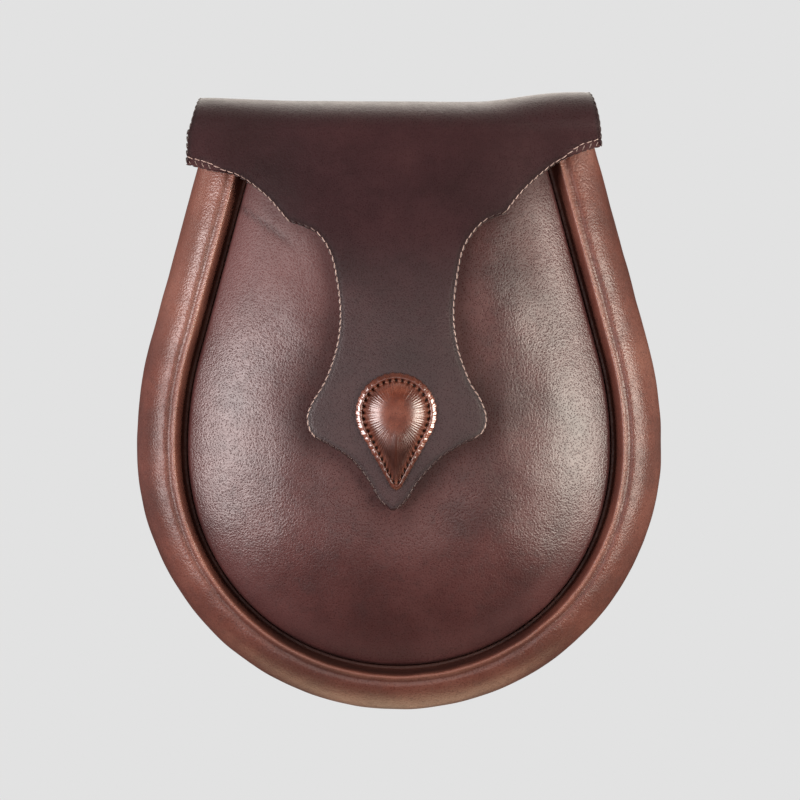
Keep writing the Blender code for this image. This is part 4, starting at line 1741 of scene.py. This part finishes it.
    def _puff(self, inner: Array, beat: StitchBeat) -> tuple[Array, Array]:
        """The padded middle, ever rounder inwards: a step up, then one less a power.

        Args:
            inner: Middle of the channel.
            beat: Beat of the stitches.

        Returns:
            Reach from the boss's centre, and height above the flap.
        """
        v, within = self.puff_share, self.within
        polar = np.arctan2(inner[:, 0], inner[:, 1])
        egg = np.column_stack([within * np.sin(polar), 1.25 * within * np.cos(polar)])
        egg[:, 1] = np.where(np.cos(polar) > 0, within * np.cos(polar), egg[:, 1])
        blend = smooth_step(v / 0.75)[..., None]
        puffed = (1 - v[..., None]) * ((1 - blend) * inner + blend * egg)
        away = v * within
        rise = (self.height - self.start - self.cushion) * (1.0 - (1.0 - v) ** 2.5)
        rise = rise + self.cushion * (1.0 - np.exp(-away / (0.45 * MM)))
        ripple, fade = self._puckers(beat)
        puff = self.start + rise + self.pucker * ripple * fade * beat.uneven
        puff = puff + beat.bridge * np.exp(-away / (0.9 * MM))
        return puffed, puff - 0.7 * MM * np.exp(-away / (0.45 * MM)) * beat.hole

    def wear_dirt_and_painted_light(self, reach: Array, beat: StitchBeat) -> dict[str, Array]:
        """Where the boss is worn, lightened or darkened as painted light and shade, dull or
        polished.

        Holes and folds are darkened as painted shade, and so are the top of the rim and the lower
        half. The sides of the rim are lightened as a painted highlight and polished, and the crest
        is dull.

        Args:
            reach: Place up of each point from the boss's centre.
            beat: Beat of the stitches.

        Returns:
            Attribute name to one value for each point.
        """
        hole, between = beat.hole, beat.between
        u, v = self.rim_share, self.puff_share
        away = v * self.within
        ripple, fade = self._puckers(beat)
        level, puff_level = reach[: self.rim_rings], reach[self.rim_rings :]
        none = np.zeros(level.shape)
        inner_part = smooth_step(away / (2 * MM))
        shade = smooth_step((-4 * MM - puff_level) / (9 * MM))
        # Painted shade in the stitch holes.
        pit = np.vstack([bell(u, 1.0, 0.3) * hole, np.exp(-away / (0.75 * MM)) * hole])
        # Painted shade on the top of the rim, and between the holes low on the rim.
        top_rim = 0.5 * smooth_step((level - 8 * MM) / (4 * MM))
        top_rim = top_rim + 0.4 * smooth_step((-8 * MM - level) / (8 * MM)) * between
        shaded = np.vstack([top_rim, 0.85 * shade * inner_part])
        # Painted shade in the troughs of the puckers.
        folds = np.vstack([none, 0.35 * fade * (ripple < -0.4)])
        dark = np.clip(np.maximum(0.98 * pit, folds) + shaded, 0, 0.98)
        # Painted highlight: a pale crescent on each side of the rim.
        bright = bell(u, 0.26, 0.22) * smooth_step((9 * MM - level) / (5 * MM))
        bright = bright * smooth_step((level + 15 * MM) / (11 * MM))
        pale = 0.1 * bell(u, 0.3, 0.2) + 0.7 * bright + 0.5 * bell(u, 0.95, 0.2) * between
        crests = 0.3 * fade * (ripple > 0.6) + 0.5 * np.exp(-away / (0.6 * MM)) * between
        calm = np.maximum(0.85 * smooth_step((v - 0.34) / 0.4), 1.1 * shade)
        matt = np.maximum(0.9 * pit, np.vstack([none, calm * inner_part]))
        matt[: self.rim_rings] -= 0.9 * bright * (1.0 - pit[: self.rim_rings])
        return {"wear_and_light": np.vstack([pale, crests]), "dirt_and_shade": dark, "matt": matt}

    def thread(self, line: Array, top: Array) -> bpy.types.Object:
        """Running stitches in the channel, from hole to hole.

        Args:
            line: Middle of the channel about the boss's centre.
            top: Heights of the channel.

        Returns:
            The thread.
        """
        pick = (np.arange(self.stitches) * self.samples + self.samples // 2) % len(line)
        x, y = self.flap.boss_centre[:, None] + line[pick].T
        spots = self.flap.form.placed(x, y, top[pick] + 0.02 * MM)
        ahead = line[(pick + 2) % len(line)] - line[pick - 2]
        ahead = unit(np.column_stack([ahead, np.zeros(len(pick))]))
        up = np.tile([0.0, 0.0, 1.0], (len(pick), 1))
        row = StitchRow("boss_thread", 1.5 * MM, 0.24 * MM, 0.3 * MM)
        return row.build(spots, ahead, up, Hide.BOSS_THREAD, "boss_leather", 1.0, 0.35)


class Side(Enum):
    """The two sides of the pouch, as the sign of X."""

    LEFT = -1.0
    RIGHT = 1.0


@dataclass
class StrapLoops:
    """Two leather strips on the back, sewn down at both ends, that a strap passes through."""

    form: PouchForm
    wall: float = 1.8 * MM
    width: float = 18.0 * MM
    spacing: float = 60.0 * MM
    room: float = 30.0 * MM
    ramp: float = 4.0 * MM
    end: float = 9.0 * MM
    margin: float = 6.0 * MM
    high: float = 6.5 * MM
    pitch: float = 2.4 * MM

    def profile(self) -> Array:
        """Straight runs of the strip's inner face, softened at the bends by a moving mean.

        Returns:
            Place up and height of each point.
        """
        top = self.form.side_rise - self.margin
        steps = np.cumsum([0.0, self.end, self.ramp, self.room, self.ramp, self.end])
        level = np.array([self.high, self.high, self.wall, self.wall, self.high, self.high])
        dense = np.linspace(0.0, steps[-1], 160)
        height = np.interp(dense, steps, level)
        kernel = np.hanning(9) / np.hanning(9).sum()
        soft = np.convolve(np.pad(height, 4, mode="edge"), kernel, mode="valid")
        return np.column_stack([top - dense, soft])

    def build(self) -> list[bpy.types.Object]:
        """Carries a rounded flat section along the profile of each strip.

        Returns:
            The strips and their threads.
        """
        return [piece for side in Side for piece in self._strip(side)]

    def _strip(self, side: Side) -> list[bpy.types.Object]:
        """One strip with its thread.

        Args:
            side: Which side it sits on.

        Returns:
            The strip and the thread.
        """
        line, name = self.profile(), side.name.lower()
        half, thick, edge = self.width / 2, self.wall, 0.5 * MM
        corners = [
            arc((half - edge, -edge), (edge, edge), 90, 0, 4),
            arc((half - edge, edge - thick), (edge, edge), 0, -90, 4),
            arc((edge - half, edge - thick), (edge, edge), -90, -180, 4),
            arc((edge - half, -edge), (edge, edge), 180, 90, 4),
        ]
        section = np.vstack(corners)
        slope = unit(np.gradient(line, axis=0))
        across = side.value * self.spacing / 2 + section[:, 0]
        up = np.column_stack([slope[:, 1], -slope[:, 0]])
        up *= np.sign(up[:1, 1])
        y = line[:, :1] + up[:, :1] * section[:, 1]
        z = line[:, 1:] + up[:, 1:] * section[:, 1]
        points = self.form.placed(across[None] + 0 * y, y, np.maximum(z, 0.0))
        rows, columns = y.shape
        faces = grid_quads(rows, columns, wrap=True).tolist()
        faces += [list(range(columns))[::-1], list(range((rows - 1) * columns, rows * columns))]
        finish = Hide.PANEL.value.material()
        rubbed = np.exp(-(half - np.abs(section[:, 0])) / (0.6 * MM))
        layers = {"wear_and_light": 0.5 * np.broadcast_to(rubbed, y.shape), "dirt_and_shade": np.zeros(y.shape)}
        strip = make_piece(f"loop_{name}", points, faces, finish, layers)
        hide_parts(f"strap_loop_{name}")
        return [strip, self._thread(side)]

    def _thread(self, side: Side) -> bpy.types.Object:
        """Box of stitches on both sewn ends of a strip.

        Args:
            side: Which side the strip sits on.

        Returns:
            The thread.
        """
        top, inset = self.form.side_rise - self.margin, 1.6 * MM
        half = self.width / 2 - inset
        total = 2 * self.end + 2 * self.ramp + self.room
        spots, runs = [], []
        for low, high in ((top - self.end, top), (top - total, top - total + self.end)):
            first, last = low + inset, high - inset
            box = np.array([(-half, first), (half, first), (half, last), (-half, last)])
            ring, _ = resampled(box, self.pitch, closed=True)
            ahead = np.roll(ring, -1, axis=0) - ring
            spots.append(ring + ahead / 2)
            runs.append(unit(ahead))
        place, run = np.vstack(spots), np.vstack(runs)
        x = side.value * self.spacing / 2 + place[:, 0]
        middle = self.form.placed(x, place[:, 1], self.high - self.wall - 0.05 * MM)
        ahead = np.column_stack([run, np.zeros(len(run))])
        up = np.tile([0.0, 0.0, -1.0], (len(run), 1))
        row = StitchRow(f"loop_thread_{side.name.lower()}", 1.9 * MM, 0.3 * MM, 0.35 * MM)
        return row.build(middle, ahead, up, Hide.EDGE_THREAD, "panel_leather")


@dataclass
class BackSewing:
    """Seam stitches round the back panel and along the hem of the flap's back leaf."""

    form: PouchForm
    flap: Flap
    inset: float = 18.6 * MM
    back_plane: float = 9.5 * MM
    pitch: float = 3.2 * MM

    def build(self) -> list[bpy.types.Object]:
        """Places a stitch every pitch along both lines.

        Returns:
            The two threads.
        """
        rim, normals = self.form.rim()
        line = rim - normals * (self.inset * self.form.squeeze(normals))[:, None]
        seam = self._row("back_seam_thread", line, self.back_plane)
        half, low = self.flap.back_width / 2 - 2 * MM, self.form.side_rise - self.flap.back_length
        top = self.form.side_rise - 3 * MM
        hem = np.array([(-half, top), (-half, low + 2 * MM), (half, low + 2 * MM), (half, top)])
        depth = self.back_plane - self.form.gap - self.flap.wall
        return [seam, self._row("hem_thread", hem, depth)]

    def _row(self, name: str, line: Array, depth: float) -> bpy.types.Object:
        """Stitches along a flat line on the back.

        Args:
            name: Name of the piece.
            line: Places across and up.
            depth: Height of the face that they lie on.

        Returns:
            The thread.
        """
        spots, _ = resampled(line, self.pitch)
        ahead = np.diff(spots, axis=0)
        middle = spots[:-1] + ahead / 2
        ahead = unit(np.column_stack([ahead, np.zeros(len(ahead))]))
        place = self.form.placed(middle[:, 0], middle[:, 1], depth - 0.02 * MM)
        up = np.tile([0.0, 0.0, -1.0], (len(place), 1))
        row = StitchRow(name, 2.5 * MM, 0.32 * MM, 0.4 * MM)
        return row.build(place, ahead, up, Hide.EDGE_THREAD, "panel_leather")


@dataclass
class CarriedNodes:
    """The nodes whose solids stay as they are, with a finish of their own."""

    finishes: dict = field(
        default_factory=lambda: {"back_panel": Hide.PANEL, "closure_stud": Hide.BRASS}
    )

    def dress(self) -> list[bpy.types.Object]:
        """Gives each node its finish.

        Returns:
            The nodes' objects.
        """
        dressed = []
        for name, finish in self.finishes.items():
            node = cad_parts[name]
            material = finish.value.material()
            if not node.material_slots:
                node.data.materials.append(material)
            for slot in node.material_slots:
                slot.material = material
            dressed.append(node)
        return dressed


@dataclass
class Studio:
    """Pale floor, soft boxes, low strips, glowing cards on the table, and a long lens."""

    distance: float = 6.0
    pixel: float = 0.3236 * MM
    focus_height: float = 15.0 * MM
    backdrop: str = "e2e2e2"
    table: str = "505050"
    world: float = 0.05
    aim: tuple[float, float] = (0.32 * MM, 0.32 * MM)
    sensor: float = 36.0
    picture: int = 800
    soft_boxes: tuple = (
        # name, place, width and height, watts, tint
        ("left_box", (-0.85, 0.01, 0.74), (0.66, 0.64), 18.8, "fff2f0"),
        ("right_box", (0.92, 0.01, 0.67), (0.68, 0.64), 21.0, "fff5e8"),
        ("top_box", (0.0, -0.04, 1.4), (0.5, 0.5), 3.2, "fff6f2"),
        ("back_strip", (0.0, 1.2, 0.16), (2.0, 0.32), 1.5, "fff8f0"),
        ("front_strip", (0.0, -1.2, 0.2), (1.2, 0.4), 0.8, "ffe8d0"),
    )
    cards: tuple = (
        # name, least x and y with greatest x and y, glow, tint
        ("back_card", (-0.5, 0.104, 0.5, 0.17), 3.3, "fff6ec"),
        ("front_card", (-0.09, -0.6, 0.09, -0.112), 2.5, "ffdcb8"),
        ("right_card", (0.10, -0.25, 0.6, 0.25), 0.45, "fff4e6"),
        ("left_card", (-0.6, -0.25, -0.10, 0.25), 0.4, "fff0f0"),
    )

    def build(self) -> None:
        """Makes the floor, the lights, the surroundings and the camera."""
        self._floor()
        self._surroundings()
        for box in self.soft_boxes:
            self._soft_box(*box)
        for card in self.cards:
            self._card(*card)
        self._camera()

    def _floor(self) -> None:
        """A matt table that the picture shows as one even pale grey, like a cleared backdrop."""
        half, drop = 14.0, -0.2 * MM
        material, tree, shader = new_material("matt_pale_table")
        shader.inputs["Base Color"].default_value = linear(self.table)
        shader.inputs["Roughness"].default_value = 0.95
        shader.inputs["Specular IOR Level"].default_value = 0.0
        glow = add_node(tree, "ShaderNodeEmission", {"Color": linear(self.backdrop)})
        seen = add_node(tree, "ShaderNodeLightPath").outputs["Is Camera Ray"]
        mix = add_node(
            tree, "ShaderNodeMixShader", {0: seen, 1: shader.outputs[0], 2: glow.outputs[0]}
        )
        tree.links.new(mix.outputs[0], tree.nodes["Material Output"].inputs["Surface"])
        self._sheet("floor", (-half, -half, half, half), drop, material)

    def _sheet(
        self, name: str, span: tuple, height: float, material: bpy.types.Material
    ) -> bpy.types.Object:
        """Lays a flat rectangle that belongs to the studio.

        Args:
            name: Name of the sheet.
            span: Its least x and y, then its greatest.
            height: Height at which it lies.
            material: Its finish.

        Returns:
            The object.
        """
        left, low, right, high = span
        corners = [(left, low), (right, low), (right, high), (left, high)]
        mesh = bpy.data.meshes.new(name)
        mesh.from_pydata([(*corner, height) for corner in corners], [], [(0, 1, 2, 3)])
        mesh.materials.append(material)
        sheet = bpy.data.objects.new(name, mesh)
        bpy.context.scene.collection.objects.link(sheet)
        return sheet

    def _surroundings(self) -> None:
        """An even dim grey world."""
        world = bpy.data.worlds.new("studio")
        world.use_nodes = True
        shade = world.node_tree.nodes["Background"]
        shade.inputs["Color"].default_value = linear("ffffff")
        shade.inputs["Strength"].default_value = self.world
        bpy.context.scene.world = world
        bpy.context.scene.view_settings.view_transform = "Standard"

    def _card(self, name: str, span: tuple, glow: float, tint: str) -> None:
        """A white card on the table that lights the flank beside it, out of the picture.

        Args:
            name: Name of the card.
            span: Its least x and y, then its greatest.
            glow: How bright it is.
            tint: Its colour.
        """
        material, tree, _ = new_material(name + "_paper")
        paper = add_node(tree, "ShaderNodeEmission", {"Color": linear(tint), "Strength": glow})
        tree.links.new(paper.outputs[0], tree.nodes["Material Output"].inputs["Surface"])
        self._sheet(name, span, 0.0, material).visible_camera = False

    def _soft_box(self, name: str, place: tuple, size: tuple, power: float, tint: str) -> None:
        """An area light that looks at the middle of the pouch.

        Args:
            name: Name of the light.
            place: Where it hangs.
            size: Its width and height.
            power: Its power in watts.
            tint: Its colour.
        """
        light = bpy.data.lights.new(name, "AREA")
        light.color = linear(tint)[:3]
        light.shape, light.size, light.size_y, light.energy = "RECTANGLE", *size, power
        lamp = bpy.data.objects.new(name, light)
        away = np.array(place) - (0.0, 0.0, 0.03)
        lamp.location = place
        lamp.rotation_mode = "QUATERNION"
        lamp.rotation_quaternion = Vector(away.tolist()).to_track_quat("Z", "Y")
        lamp.visible_camera = False
        bpy.context.scene.collection.objects.link(lamp)

    def _camera(self) -> None:
        """A long lens whose picture has one pixel size at the widest reach of the roll."""
        lens = bpy.data.cameras.new("camera")
        lens.sensor_width = self.sensor
        seen = self.picture * self.pixel
        lens.lens = self.sensor * (self.distance - self.focus_height) / seen
        lens.clip_start, lens.clip_end = 0.1, 60.0
        camera = bpy.data.objects.new("camera", lens)
        camera.location = (*self.aim, self.distance)
        bpy.context.scene.collection.objects.link(camera)
        bpy.context.scene.camera = camera


def main() -> None:
    """Builds and dresses every piece in order and reports each one."""
    logging.basicConfig(level=logging.INFO, format="%(name)s: %(message)s")
    low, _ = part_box("gusset")
    form = PouchForm(centre_y=float(low[1]) + PouchForm.bottom_radius)
    flap = Flap(form)
    assemblies = (
        Roll(form),
        FrontPanel(form, flap),
        flap,
        Boss(flap),
        StrapLoops(form),
        BackSewing(form, flap),
    )
    for assembly in assemblies:
        for piece in assembly.build():
            LOG.info("%s: %d faces", piece.name, len(piece.data.polygons))
    for node in CarriedNodes().dress():
        LOG.info("%s: finish %s", node.name, node.material_slots[0].material.name)
    Studio().build()


if __name__ == "__main__":
    main()
